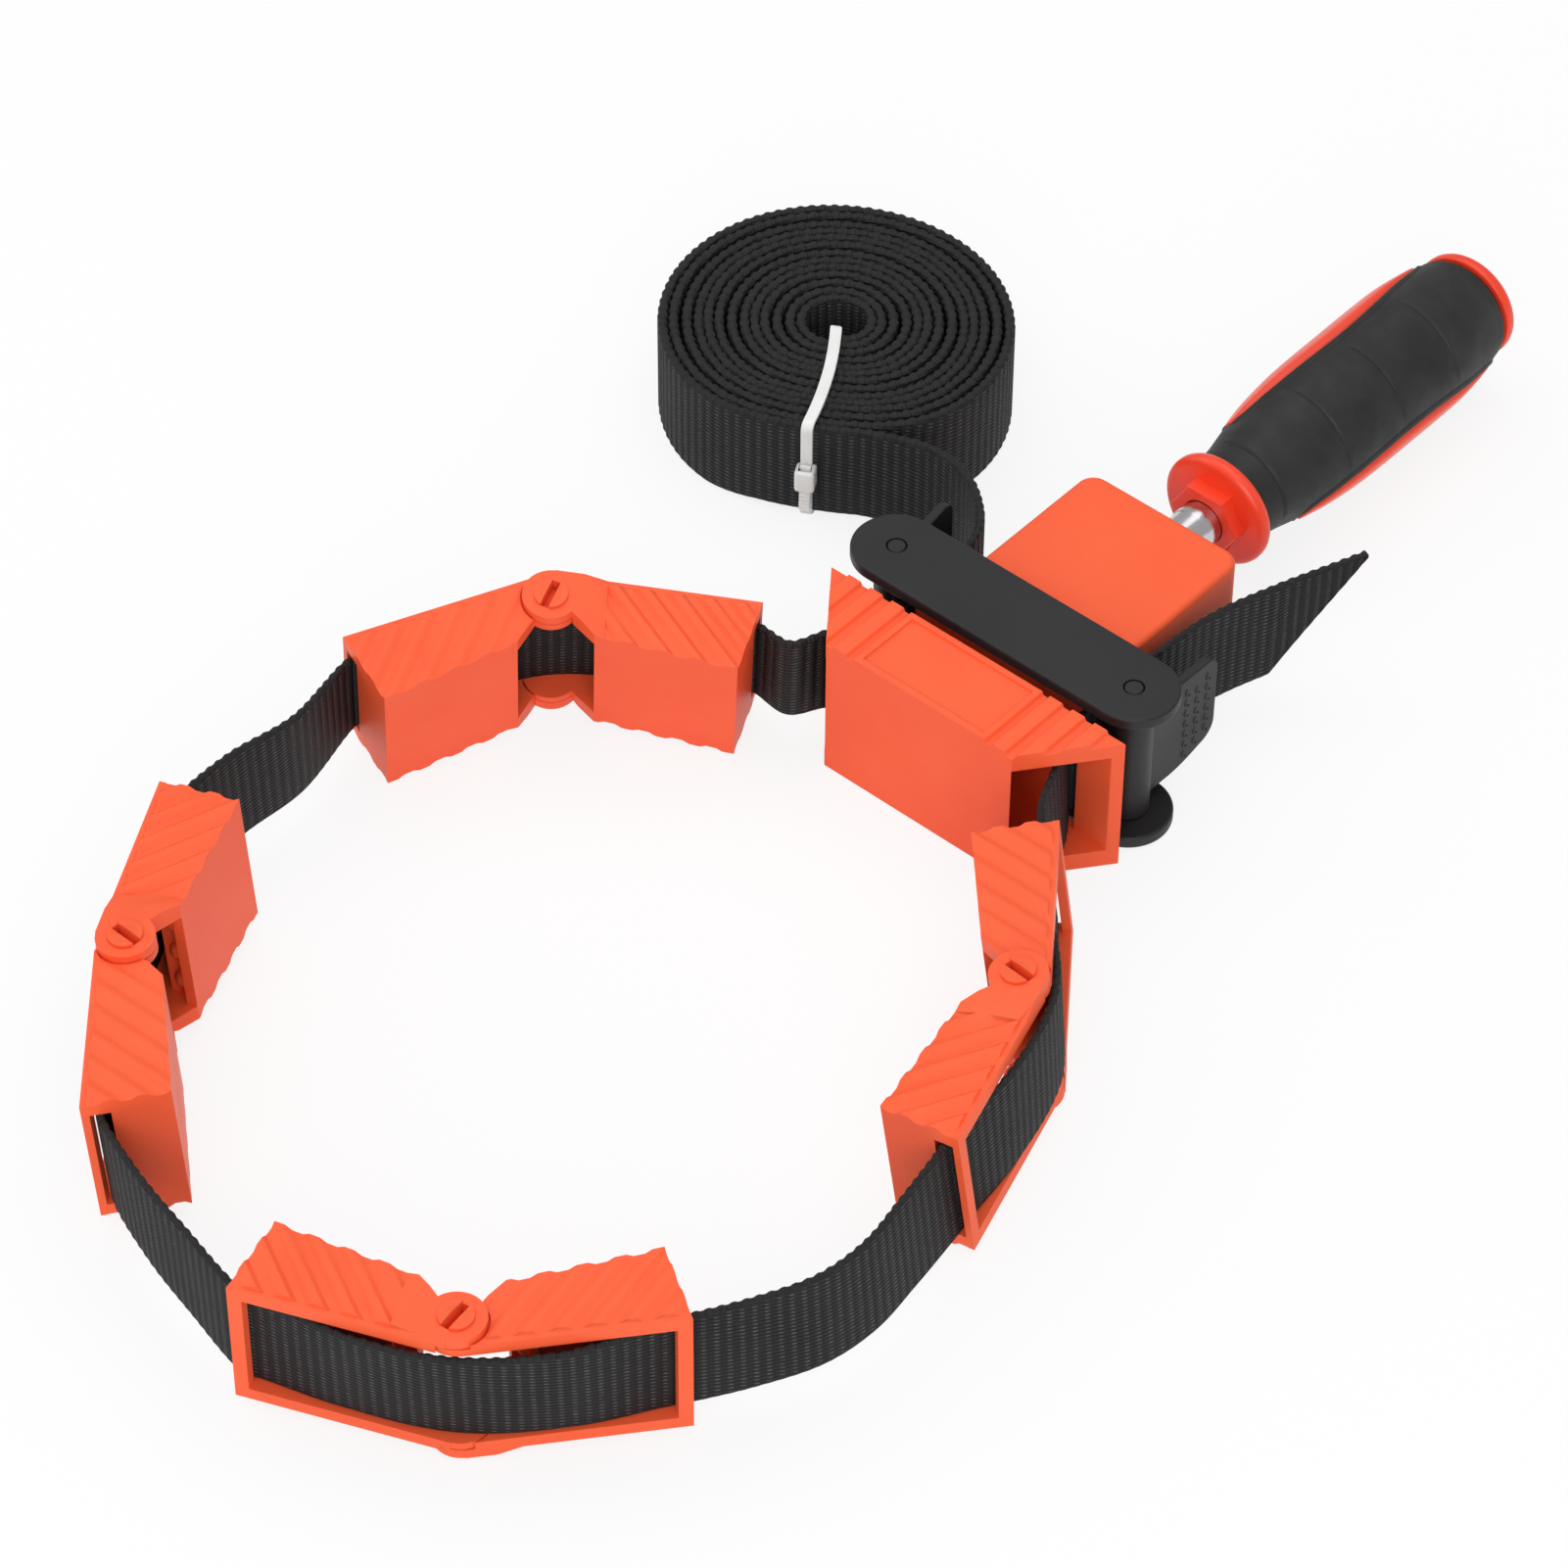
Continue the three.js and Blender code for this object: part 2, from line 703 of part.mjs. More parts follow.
// Jaw half: a channel open to the outside, with a slot for the strap in its end wall.
// Above it carries the outer ear with its hole, below it the inner ear with the split snap pin.
// The mating half is the same moulding turned over, so each pin snaps into the other half's ear.
function jawHalf() {
  const top = jawHeight / 2;
  const under = top - jawPlate;
  const outerLine = (x) => {
    const share = x / jawOuterEnd[0];
    return jawOuterNear + (jawOuterEnd[1] - jawOuterNear) * share;
  };
  const outline = [
    [jawNearOffset, 0],
    [jawInnerNear[0], jawNearOffset - jawInnerNear[0]],
    jawInnerEnd,
    jawOuterEnd,
    [jawNearOffset, outerLine(jawNearOffset)],
  ];
  const shell = toSolid(prism(outline, -top, top));

  const near = new THREE.Vector2(...outline[1]);
  const far = new THREE.Vector2(...jawInnerEnd);
  const outerFar = new THREE.Vector2(...jawOuterEnd);
  const wallWay = far.clone().sub(near).normalize();
  const wallSide = new THREE.Vector2(-wallWay.y, wallWay.x).multiplyScalar(jawInnerWall);
  const endWay = outerFar.clone().sub(far).normalize();
  const endSide = new THREE.Vector2(-endWay.y, endWay.x).multiplyScalar(jawEndWall);
  const reach = jawOuterEnd[0];
  const wallStart = near.clone().add(wallSide).addScaledVector(wallWay, -reach);
  const turn = wallWay.x * endWay.y - wallWay.y * endWay.x;
  const between = far.clone().add(endSide).sub(near.clone().add(wallSide));
  const wallLength = (between.x * endWay.y - between.y * endWay.x) / turn;
  const corner = near.clone().add(wallSide).addScaledVector(wallWay, wallLength);
  const endTop = corner.clone().addScaledVector(endWay, reach);
  const channel = toSolid(
    prism(
      [wallStart, corner, endTop, new THREE.Vector2(wallStart.x, endTop.y)].map((p) => [p.x, p.y]),
      -under,
      under,
    ),
  );

  const wallEnd = near.clone().addScaledVector(wallSide, 1 + gap);
  const beyond = wallWay.clone().multiplyScalar(-reach);
  const window = toSolid(
    prism(
      [near, wallEnd, wallEnd.clone().add(beyond), near.clone().add(beyond)].map((p) => [p.x, p.y]),
      -under,
      under,
    ),
  );
  const crossWall = toSolid(
    box(
      [crossWallPlace, jawInnerEnd[1], -under],
      [crossWallPlace + crossWallThickness, crossWallOuter, under],
    ),
  ).intersect(shell);

  const slot = toSolid(
    box(
      [jawInnerEnd[0] - overrun, jawSlot[0], -jawSlotHeight / 2],
      [reach + overrun, jawSlot[1], jawSlotHeight / 2],
    ),
  );
  const sweep = toSolid(post(earSweep, -top - overrun, top + overrun, 0, 0, fineSteps));

  const outerLow = top + outerEarRise - outerEarThickness;
  const outerHigh = top + outerEarRise;
  const outerEar = toSolid(post(earRadius, outerLow, outerHigh, 0, 0, fineSteps));
  const ramp = new THREE.ExtrudeGeometry(
    new THREE.Shape(
      [
        [0, outerLow],
        [rampEnd, outerLow],
        [rampEnd, top],
        [rampFar, top],
        [rampNear, outerHigh],
        [0, outerHigh],
      ].map(([x, z]) => new THREE.Vector2(x, z)),
    ),
    { depth: 2 * rampEnd, bevelEnabled: false },
  );
  ramp.rotateX(quarterTurn);
  ramp.translate(0, rampEnd, 0);
  const arm = toSolid(ramp).intersect(toSolid(prism(outline, outerLow, outerHigh)));
  const earHole = toSolid(post(earHoleRadius, outerLow - overrun, outerHigh + overrun, 0, 0, fineSteps));

  const innerLow = -under;
  const innerEar = toSolid(post(earRadius, innerLow - innerEarThickness, innerLow, 0, 0, fineSteps));
  const neck = toSolid(prism(outline, innerLow - innerEarThickness, innerLow)).intersect(
    toSolid(post(rampEnd, innerLow - innerEarThickness - overrun, innerLow + overrun)),
  );
  const lipStart = outerHigh + snapLipGap;
  const tip = lipStart + snapLipHeight;
  const pin = toSolid(post(snapPinRadius, -tip, innerLow, 0, 0, fineSteps));
  const lip = toSolid(post(snapLipRadius, -tip, -lipStart, 0, 0, fineSteps));
  const split = box(
    [-snapLipRadius - overrun, -snapSlotWidth / 2, -tip - overrun],
    [snapLipRadius + overrun, snapSlotWidth / 2, -tip + snapSlotDepth],
  );
  split.rotateZ(THREE.MathUtils.degToRad(snapSlotAngle));

  const body = join([cut(shell, [channel, window, slot, sweep]), crossWall]);
  const ears = cut(join([outerEar, arm]), [earHole]);
  const pinned = cut(join([innerEar, neck, pin, lip]), [toSolid(split)]);
  return join([body, ears, pinned]);
}

function jawTangent(jaw) {
  return along(jaw.way.right).sub(along(jaw.way.left)).normalize();
}

function leaning(jaw, degrees) {
  const tangent = jawTangent(jaw);
  const axis = new THREE.Vector3(tangent.x, tangent.y, 0);
  return new THREE.Matrix4().makeRotationAxis(axis, THREE.MathUtils.degToRad(degrees));
}

function jawPlace(jaw, half) {
  const way = along(jaw.way[half]);
  const right = half === 'right';
  const matrix = new THREE.Matrix4().makeBasis(
    new THREE.Vector3(way.x, way.y, 0),
    new THREE.Vector3(right ? -way.y : way.y, right ? way.x : -way.x, 0),
    new THREE.Vector3(0, 0, right ? 1 : -1),
  );
  return matrix.premultiply(leaning(jaw, jaw.lean.jaw)).setPosition(...jaw.pivot);
}

// Strap line inside a jaw, from the slot of its right half to the slot of its left half
function jawStrapPoints(jaw) {
  const [rightBelly, pinBelly, leftBelly] = jaw.belly;
  const inHalf = (half, [x, y]) => new THREE.Vector3(x, y, 0).applyMatrix4(jawPlace(jaw, half));
  const tangent = jawTangent(jaw);
  const outward = new THREE.Vector3(-tangent.y, tangent.x, 0).transformDirection(leaning(jaw, jaw.lean.jaw));
  const jawUp = upright.clone().transformDirection(leaning(jaw, jaw.lean.jaw));
  const strapUp = upright.clone().transformDirection(leaning(jaw, jaw.lean.strap));
  return [
    { spot: inHalf('right', strapSlotPlace), up: jawUp },
    { spot: inHalf('right', strapSlotInside), up: jawUp },
    { spot: inHalf('right', [bellyStation, rightBelly]), up: strapUp },
    { spot: new THREE.Vector3(...jaw.pivot).addScaledVector(outward, pinBelly), up: strapUp },
    { spot: inHalf('left', [bellyStation, leftBelly]), up: strapUp },
    { spot: inHalf('left', strapSlotInside), up: jawUp },
    { spot: inHalf('left', strapSlotPlace), up: jawUp },
  ];
}

// Carriage
addPart('bottom_plate', carriagePlate(0), blackPlastic);
addPart('top_plate', carriagePlate(carriageHeight - plateThickness), blackPlastic);
for (const [name, side] of [['right', 1], ['left', -1]]) {
  addPart(`lever_pin_${name}`, post(pinRadius, 0, carriageHeight, (side * pinSpacing) / 2, 0), blackPlastic);
  addPart(`cam_lever_${name}`, camLever(side, leverSplay[name]), blackPlastic);
}
addPart('rear_block', rearBlock(), orangePlastic);

// Block, spindle and handle
addPart('front_block', frontBlock(), orangePlastic);
addPart('spindle', spindle(), steel);
addPart('handle_core', handleCore(), orangePlastic);
addPart('handle_grip', handleGrip(), blackRubber);
addPart('handle_end_cap', handleCap(), orangePlastic);

// Jaws
const halfSolid = jawHalf();
for (const jaw of jaws) {
  for (const half of ['left', 'right']) {
    const geometry = toGeometry(halfSolid);
    geometry.applyMatrix4(jawPlace(jaw, half));
    addPart(`${jaw.name}_${half === jaw.fold ? 'fold' : 'base'}`, geometry, orangePlastic);
  }
}

// Strap around the ring: one line from the carriage through block, jaws and block to the carriage
const inJaw = jaws.map(jawStrapPoints);
const [atLeft] = standing([[-gripLine, carriageEnd]], strapMidHeight);
const [atRight] = standing([[gripLine, carriageEnd]], strapMidHeight);
const firstOf = (list) => list[0];
const lastOf = (list) => list[list.length - 1];
const ring = [
  ...standing([[-gripLine, 0]], strapMidHeight),
  atLeft,
  ...passing(blockRunLeft.slice().reverse(), atLeft, firstOf(inJaw[0])),
  ...inJaw[0],
  ...passing(spanLeftOne, lastOf(inJaw[0]), firstOf(inJaw[1])),
  ...inJaw[1],
  ...passing(spanMiddle, lastOf(inJaw[1]), firstOf(inJaw[2])),
  ...inJaw[2],
  ...passing(spanRight, lastOf(inJaw[2]), firstOf(inJaw[3])),
  ...inJaw[3],
  ...passing(blockRunRight, lastOf(inJaw[3]), atRight),
  atRight,
  ...standing([[gripLine, 0]], strapMidHeight),
];

const jawPoints = inJaw[0].length;
let mark = 1;
const ringPieces = [];
const take = (name, count, steps) => {
  ringPieces.push([name, mark, mark + count, steps]);
  mark += count;
};
take('strap_block_left', blockRunLeft.length + 1, spanSteps);
take('strap_in_jaw_1', jawPoints - 1, jawStrapSteps);
take('strap_span_1', spanLeftOne.length + 1, spanSteps);
take('strap_in_jaw_2', jawPoints - 1, jawStrapSteps);
take('strap_span_2', spanMiddle.length + 1, spanSteps);
take('strap_in_jaw_3', jawPoints - 1, jawStrapSteps);
take('strap_span_3', spanRight.length + 1, spanSteps);
take('strap_in_jaw_4', jawPoints - 1, jawStrapSteps);
take('strap_block_right', blockRunRight.length + 1, spanSteps);
for (const [name, from, to, steps] of ringPieces) {
  addPart(name, band(lineStations(ring, from, to, steps, acrossStrap)), webbing);
}

// Tail: its end is cut on the slant, from the lower edge up to a tip
const tailLine = standing([[gripLine, carriageEnd], ...tailPoints], strapMidHeight);
const cutShare = 1 - tailCutLength / smoothLine(tailLine).getLength();
const tailLevels = (share) => {
  const { low, high } = acrossStrap();
  const rise = Math.max(0, share - cutShare) / (1 - cutShare);
  return { low: low + (high - low - tailTipHeight) * rise, high };
};
addPart('strap_tail', band(lineStations(tailLine, 0, tailLine.length - 1, leadSteps, tailLevels)), webbing);

// Roll: the lead from the carriage runs on without a break into the coil
function coilSpot(wound) {
  const degrees = coilStart - wound;
  const radius = coilRadius - (coilPitch * wound) / fullCircle;
  const near = THREE.MathUtils.euclideanModulo(degrees - tieAngle + halfCircle, fullCircle) - halfCircle;
  const pinch = coilPinch * Math.exp(-((near / coilPinchSpread) ** 2)) * (radius / coilRadius);
  const way = along(degrees);
  return [
    coilCentre[0] + way.x * (radius - pinch),
    coilCentre[1] + way.y * (radius * coilRoundness - pinch),
  ];
}

const tieWay = along(tieAngle);
function coilLow([x, y]) {
  const dx = x - coilCentre[0];
  const dy = y - coilCentre[1];
  const beside = Math.abs(dx * tieWay.y - dy * tieWay.x);
  const onTieSide = dx * tieWay.x + dy * tieWay.y > 0;
  return onTieSide ? coilLift * THREE.MathUtils.clamp((2 * coilLiftReach - beside) / coilLiftReach, 0, 1) : 0;
}

function rollStations() {
  const step = fullCircle / coilStepsPerTurn;
  const points = standing([[-gripLine, carriageEnd], ...leadPoints, coilSpot(0), coilSpot(step)]);
  const levels = (share) => {
    const start = strapMidHeight - strapWidth / 2;
    const low = start * THREE.MathUtils.smoothstep(1 - share, leadDrop.from, leadDrop.to);
    return { low, high: low + strapWidth };
  };
  const stations = lineStations(points, 0, points.length - 2, leadSteps, levels);
  stations.pop();
  for (let i = 0; i <= coilTurns * coilStepsPerTurn; i += 1) {
    const spot = coilSpot(i * step);
    stations.push({ spot: new THREE.Vector3(...spot, 0), low: coilLow(spot), high: strapWidth });
  }
  return stations;
}

const roll = rollStations();
addPart('strap_roll', band(roll), webbing);

// Least gap between the roll's turns
function leastGap(stations, skip) {
  let least = Infinity;
  for (let i = 0; i < stations.length; i += 1) {
    for (let j = i + skip; j < stations.length - 1; j += 1) {
      const a = stations[j].spot.clone();
      const b = stations[j + 1].spot;
      const p = stations[i].spot;
      const edge = b.clone().sub(a);
      const share = THREE.MathUtils.clamp(p.clone().sub(a).dot(edge) / edge.lengthSq(), 0, 1);
      least = Math.min(least, p.distanceTo(a.addScaledVector(edge, share)));
    }
  }
  return least - strapThickness;
}
console.log('least gap in the roll', leastGap(roll, coilStepsPerTurn / 2).toFixed(3));

// Cable tie: a closed loop through the coil, with its head and tail end on the outer wall
function cableTie() {
  const low = 0;
  const high = strapWidth + gap + tieThickness;
  const ringShape = (grow) => {
    const x0 = tieInner - grow;
    const x1 = tieOuter + grow;
    const z0 = low + tieThickness - grow;
    const z1 = high - tieThickness + grow;
    const r = tieCorner + grow;
    const path = new THREE.Path();
    path.moveTo(x0 + r, z0);
    path.lineTo(x1 - r, z0);
    path.absarc(x1 - r, z0 + r, r, -quarterTurn, 0, false);
    path.lineTo(x1, z1 - r);
    path.absarc(x1 - r, z1 - r, r, 0, quarterTurn, false);
    path.lineTo(x0 + r, z1);
    path.absarc(x0 + r, z1 - r, r, quarterTurn, halfTurn, false);
    path.lineTo(x0, z0 + r);
    path.absarc(x0 + r, z0 + r, r, halfTurn, halfTurn + quarterTurn, false);
    return path;
  };
  const shape = new THREE.Shape(ringShape(tieThickness).getPoints(tieCornerSteps));
  shape.holes.push(new THREE.Path(ringShape(0).getPoints(tieCornerSteps).reverse()));
  const loop = new THREE.ExtrudeGeometry(shape, { depth: tieWidth, bevelEnabled: false });
  loop.rotateX(quarterTurn);
  loop.translate(0, tieWidth / 2, 0);
  const outer = tieOuter + tieThickness;
  const head = box(
    [outer - tieThickness, -tieHeadSize[0] / 2, tieHeadHeight],
    [outer - tieThickness + tieHeadSize[1], tieHeadSize[0] / 2, tieHeadHeight + tieHeadSize[2]],
  );
  const tail = box(
    [outer + tieTailStandOff, -tieWidth / 2, tieHeadHeight - tieTailLength],
    [outer + tieTailStandOff + tieThickness, tieWidth / 2, tieHeadHeight + overrun],
  );
  const tie = toGeometry(join([toSolid(loop), toSolid(head), toSolid(tail)]));
  tie.rotateZ(THREE.MathUtils.degToRad(tieAngle));
  tie.translate(coilCentre[0], coilCentre[1], 0);
  return tie;
}
addPart('cable_tie', cableTie(), whiteNylon);

// The origin is the middle of the whole footprint, at its lowest point
const bounds = new THREE.Box3().setFromObject(model);
const middle = bounds.getCenter(new THREE.Vector3());
for (const mesh of model.children) {
  mesh.geometry.translate(-middle.x, -middle.y, -bounds.min.z);
}
console.log('origin in plan', middle.x.toFixed(4), middle.y.toFixed(4), 'lowest', bounds.min.z.toFixed(4));
const size = bounds.getSize(new THREE.Vector3()).toArray();
console.log('size', size.map((v) => v.toFixed(2)).join(' '));

export default model;
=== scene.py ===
import bpy
import bmesh
import math
from bisect import bisect_right
from mathutils import Matrix, Vector, noise


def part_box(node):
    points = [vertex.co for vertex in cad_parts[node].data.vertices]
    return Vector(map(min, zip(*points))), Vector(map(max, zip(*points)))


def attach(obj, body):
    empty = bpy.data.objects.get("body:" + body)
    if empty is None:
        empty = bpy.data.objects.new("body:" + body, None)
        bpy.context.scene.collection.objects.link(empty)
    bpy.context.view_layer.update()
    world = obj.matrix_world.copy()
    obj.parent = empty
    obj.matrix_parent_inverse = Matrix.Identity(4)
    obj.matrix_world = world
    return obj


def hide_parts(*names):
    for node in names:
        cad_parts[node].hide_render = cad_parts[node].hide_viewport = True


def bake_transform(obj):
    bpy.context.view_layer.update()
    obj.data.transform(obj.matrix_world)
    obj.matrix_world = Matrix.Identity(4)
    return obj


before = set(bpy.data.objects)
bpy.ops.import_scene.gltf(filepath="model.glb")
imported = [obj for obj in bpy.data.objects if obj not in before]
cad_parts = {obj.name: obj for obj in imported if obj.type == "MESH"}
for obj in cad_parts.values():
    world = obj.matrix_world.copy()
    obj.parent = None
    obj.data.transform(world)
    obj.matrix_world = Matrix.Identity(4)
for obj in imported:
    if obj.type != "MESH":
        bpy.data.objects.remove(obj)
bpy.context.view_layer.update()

# The clamp is drawn in millimetres about the middle of its carriage, then placed in the row frame
plateLow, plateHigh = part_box("bottom_plate")
middle = ((plateLow[0] + plateHigh[0]) / 2, (plateLow[1] + plateHigh[1]) / 2, plateLow[2])
toRow = Matrix.Translation(middle) @ Matrix.Scale(0.001, 4)
fromRow = toRow.inverted()
weavePick = 2.5  # from one crosswise rib of the webbing to the next, in its shape and in its look
print("frame loaded")


# Small helpers

def rowPoint(x, y, z):
    return toRow @ Vector((x, y, z))


def planWay(degrees):
    return Vector((math.cos(math.radians(degrees)), math.sin(math.radians(degrees))))


def clamped(value):
    return min(1, max(0, value))


def newObject(name, data):
    thing = bpy.data.objects.new(name, data)
    bpy.context.scene.collection.objects.link(thing)
    return thing


def meshFrom(bm, name):
    mesh = bpy.data.meshes.new(name)
    bm.to_mesh(mesh)
    bm.free()
    return mesh


def newVerts(result):
    return [g for g in result["geom"] if isinstance(g, bmesh.types.BMVert)]


def isUpright(edge):
    return abs(edge.verts[0].co.z - edge.verts[1].co.z) > 1


def roundEdges(bm, edges, width, segments):
    bmesh.ops.bevel(bm, geom=edges, offset=width, offset_type="OFFSET", segments=segments, profile=0.5,
                    affect="EDGES", clamp_overlap=True, material=-1)


def softenEdges(bm, width, segments=2, above=25, wanted=None):
    # rounds the edges that turn by more than so many degrees
    limit = math.radians(above)
    roundEdges(bm, [e for e in bm.edges if len(e.link_faces) == 2 and e.calc_face_angle(0.0) > limit
                    and (wanted is None or wanted(e))], width, segments)


def closeTube(bm):
    # joins a rolled up grid along its seam, fills its ends and turns its faces outwards
    bmesh.ops.remove_doubles(bm, verts=bm.verts, dist=0.0005)
    bmesh.ops.holes_fill(bm, edges=[e for e in bm.edges if e.is_boundary])
    bmesh.ops.recalc_face_normals(bm, faces=bm.faces)
    return bm


def mergeInto(target, source, matrix=None):
    if matrix is not None:
        source.transform(matrix)
    mesh = meshFrom(source, "part")
    target.from_mesh(mesh)
    bpy.data.meshes.remove(mesh)


def carved(bm, tools, operation="DIFFERENCE"):
    # boolean of one body with several tools, given back as a clean bmesh
    shapes = [newObject("shape", meshFrom(source, "shape")) for source in [bm] + tools]
    for tool in shapes[1:]:
        change = shapes[0].modifiers.new("cut", "BOOLEAN")
        change.operation = operation
        change.solver = "EXACT"
        change.object = tool
    graph = bpy.context.evaluated_depsgraph_get()
    result = bmesh.new()
    result.from_mesh(shapes[0].evaluated_get(graph).to_mesh())
    for shape in shapes:
        mesh = shape.data
        bpy.data.objects.remove(shape)
        bpy.data.meshes.remove(mesh)
    bmesh.ops.remove_doubles(result, verts=result.verts, dist=0.001)
    bmesh.ops.dissolve_limit(result, angle_limit=math.radians(0.5), verts=result.verts, edges=result.edges)
    return result


def cylinder(radius, low, high, x=0, y=0, steps=64):
    bm = bmesh.new()
    bmesh.ops.create_cone(bm, cap_ends=True, segments=steps, radius1=radius, radius2=radius, depth=high - low,
                          matrix=Matrix.Translation((x, y, (low + high) / 2)))
    return bm


def block(low, high):
    bm = bmesh.new()
    bmesh.ops.create_cube(bm, size=1)
    bmesh.ops.scale(bm, vec=[b - a for a, b in zip(low, high)], verts=bm.verts)
    bmesh.ops.translate(bm, vec=[(a + b) / 2 for a, b in zip(low, high)], verts=bm.verts)
    return bm


def slab(outline, low, high):
    # upright prism over a plan outline, drawn anticlockwise
    bm = bmesh.new()
    face = bm.faces.new([bm.verts.new((x, y, low)) for x, y in outline])
    raised = bmesh.ops.extrude_face_region(bm, geom=[face], use_keep_orig=True)
    bmesh.ops.translate(bm, vec=(0, 0, high - low), verts=newVerts(raised))
    bmesh.ops.recalc_face_normals(bm, faces=bm.faces)
    return bm


def turnedShape(profile, steps=96):
    # [station, radius] pairs spun about the handle axis, closed at both ends
    bm = bmesh.new()
    line = [bm.verts.new((radius, station, 0)) for station, radius in profile]
    edges = [bm.edges.new(pair) for pair in zip(line, line[1:])]
    bmesh.ops.spin(bm, geom=line + edges, cent=(0, 0, 0), axis=(0, 1, 0), angle=2 * math.pi, steps=steps,
                   use_merge=True, use_duplicate=False)
    bmesh.ops.remove_doubles(bm, verts=bm.verts, dist=0.0005)
    bmesh.ops.recalc_face_normals(bm, faces=bm.faces)
    bmesh.ops.translate(bm, vec=(0, 0, handle["axisHeight"]), verts=bm.verts)
    return bm


def nodeCopy(name):
    # a CAD node's own mesh, with its loose triangles joined into flat faces
    bm = bmesh.new()
    bm.from_mesh(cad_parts[name].data)
    bm.transform(fromRow)
    bmesh.ops.remove_doubles(bm, verts=bm.verts, dist=0.003)
    bmesh.ops.dissolve_limit(bm, angle_limit=math.radians(0.8), verts=bm.verts, edges=bm.edges)
    return bm


def finishPiece(bm, name, finish, body=None, nodes=(), sharp=32, place=None, even=True):
    # a named object at the origin, with its look, body and the nodes it stands for
    bm.transform(toRow if place is None else toRow @ place)
    if place is not None and place.determinant() < 0:
        bmesh.ops.reverse_faces(bm, faces=bm.faces)
    limit = math.radians(sharp)
    for face in bm.faces:
        face.smooth = True
    for edge in bm.edges:
        edge.smooth = len(edge.link_faces) == 2 and edge.calc_face_angle(0.0) < limit
    mesh = meshFrom(bm, name)
    mesh.materials.append(looks[finish])
    piece = newObject(name, mesh)
    if even:
        shade = piece.modifiers.new("evenShade", "WEIGHTED_NORMAL")
        shade.keep_sharp = True
    if nodes:
        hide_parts(*nodes)
    if body:
        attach(piece, body)
    return piece


# Materials

def newLook(name, color, roughness, metallic=0.0):
    look = bpy.data.materials.new(name)
    look.use_nodes = True
    shader = look.node_tree.nodes["Principled BSDF"]
    shader.inputs["Base Color"].default_value = (*color, 1)
    shader.inputs["Roughness"].default_value = roughness
    shader.inputs["Metallic"].default_value = metallic
    return look, look.node_tree, shader


def mathNode(tree, operation, *values):
    # each value is a number or another node's output
    node = tree.nodes.new("ShaderNodeMath")
    node.operation = operation
    for socket, value in zip(node.inputs, values):
        if hasattr(value, "is_linked"):
            tree.links.new(value, socket)
        else:
            socket.default_value = value
    return node.outputs["Value"]


def noiseNode(tree, scale, detail=3, roughness=0.55, stretch=(1, 1, 1), coords=None):
    if coords is None:
        coords = tree.nodes.new("ShaderNodeTexCoord").outputs["Object"]
    spread = tree.nodes.new("ShaderNodeMapping")
    spread.inputs["Scale"].default_value = stretch
    texture = tree.nodes.new("ShaderNodeTexNoise")
    texture.inputs["Scale"].default_value = scale
    texture.inputs["Detail"].default_value = detail
    texture.inputs["Roughness"].default_value = roughness
    tree.links.new(coords, spread.inputs["Vector"])
    tree.links.new(spread.outputs["Vector"], texture.inputs["Vector"])
    return texture.outputs["Fac"]


def ranged(tree, value, low, high, fromLow=0.3, fromHigh=0.7):
    node = tree.nodes.new("ShaderNodeMapRange")
    node.inputs["From Min"].default_value = fromLow
    node.inputs["From Max"].default_value = fromHigh
    node.inputs["To Min"].default_value = low
    node.inputs["To Max"].default_value = high
    tree.links.new(value, node.inputs["Value"])
    return node.outputs["Result"]


def mixedColor(tree, factor, first, second):
    node = tree.nodes.new("ShaderNodeMix")
    node.data_type = "RGBA"
    tree.links.new(factor, node.inputs["Factor"])
    for index, value in ((6, first), (7, second)):
        if hasattr(value, "is_linked"):
            tree.links.new(value, node.inputs[index])
        else:
            node.inputs[index].default_value = (*value, 1)
    return node.outputs[2]


def bumped(tree, shader, layers):
    # layers of (height, strength, distance in metres), the finest last
    last = None
    for height, strength, distance in layers:
        node = tree.nodes.new("ShaderNodeBump")
        node.inputs["Strength"].default_value = strength
        node.inputs["Distance"].default_value = distance
        tree.links.new(height, node.inputs["Height"])
        if last is not None:
            tree.links.new(last, node.inputs["Normal"])
        last = node.outputs["Normal"]
    tree.links.new(last, shader.inputs["Normal"])


def glowInside(shader, weight, radius, scale):
    shader.inputs["Subsurface Weight"].default_value = weight
    shader.inputs["Subsurface Radius"].default_value = radius
    shader.inputs["Subsurface Scale"].default_value = scale


def mouldedLook(name, color, deep, roughness, grain, inside=0.0, sheen=0.5):
    # clouds of a deeper shade, flow marks in the gloss and a fine grain over a wider one
    look, tree, shader = newLook(name, color, roughness)
    cloud = ranged(tree, noiseNode(tree, 45, 4), 0.0, 1.0, 0.35, 0.72)
    flow = noiseNode(tree, 16, 3, stretch=(1, 1, 2.5))
    fine = noiseNode(tree, 2600, 2)
    wide = noiseNode(tree, 260, 3)
    tree.links.new(mixedColor(tree, cloud, color, deep), shader.inputs["Base Color"])
    tree.links.new(ranged(tree, flow, roughness - 0.05, roughness + 0.08), shader.inputs["Roughness"])
    bumped(tree, shader, [(wide, grain, 0.00004), (fine, grain, 0.00002)])
    shader.inputs["Specular IOR Level"].default_value = sheen
    if inside:
        glowInside(shader, inside, (0.9, 0.28, 0.12), 0.0012)
    return look


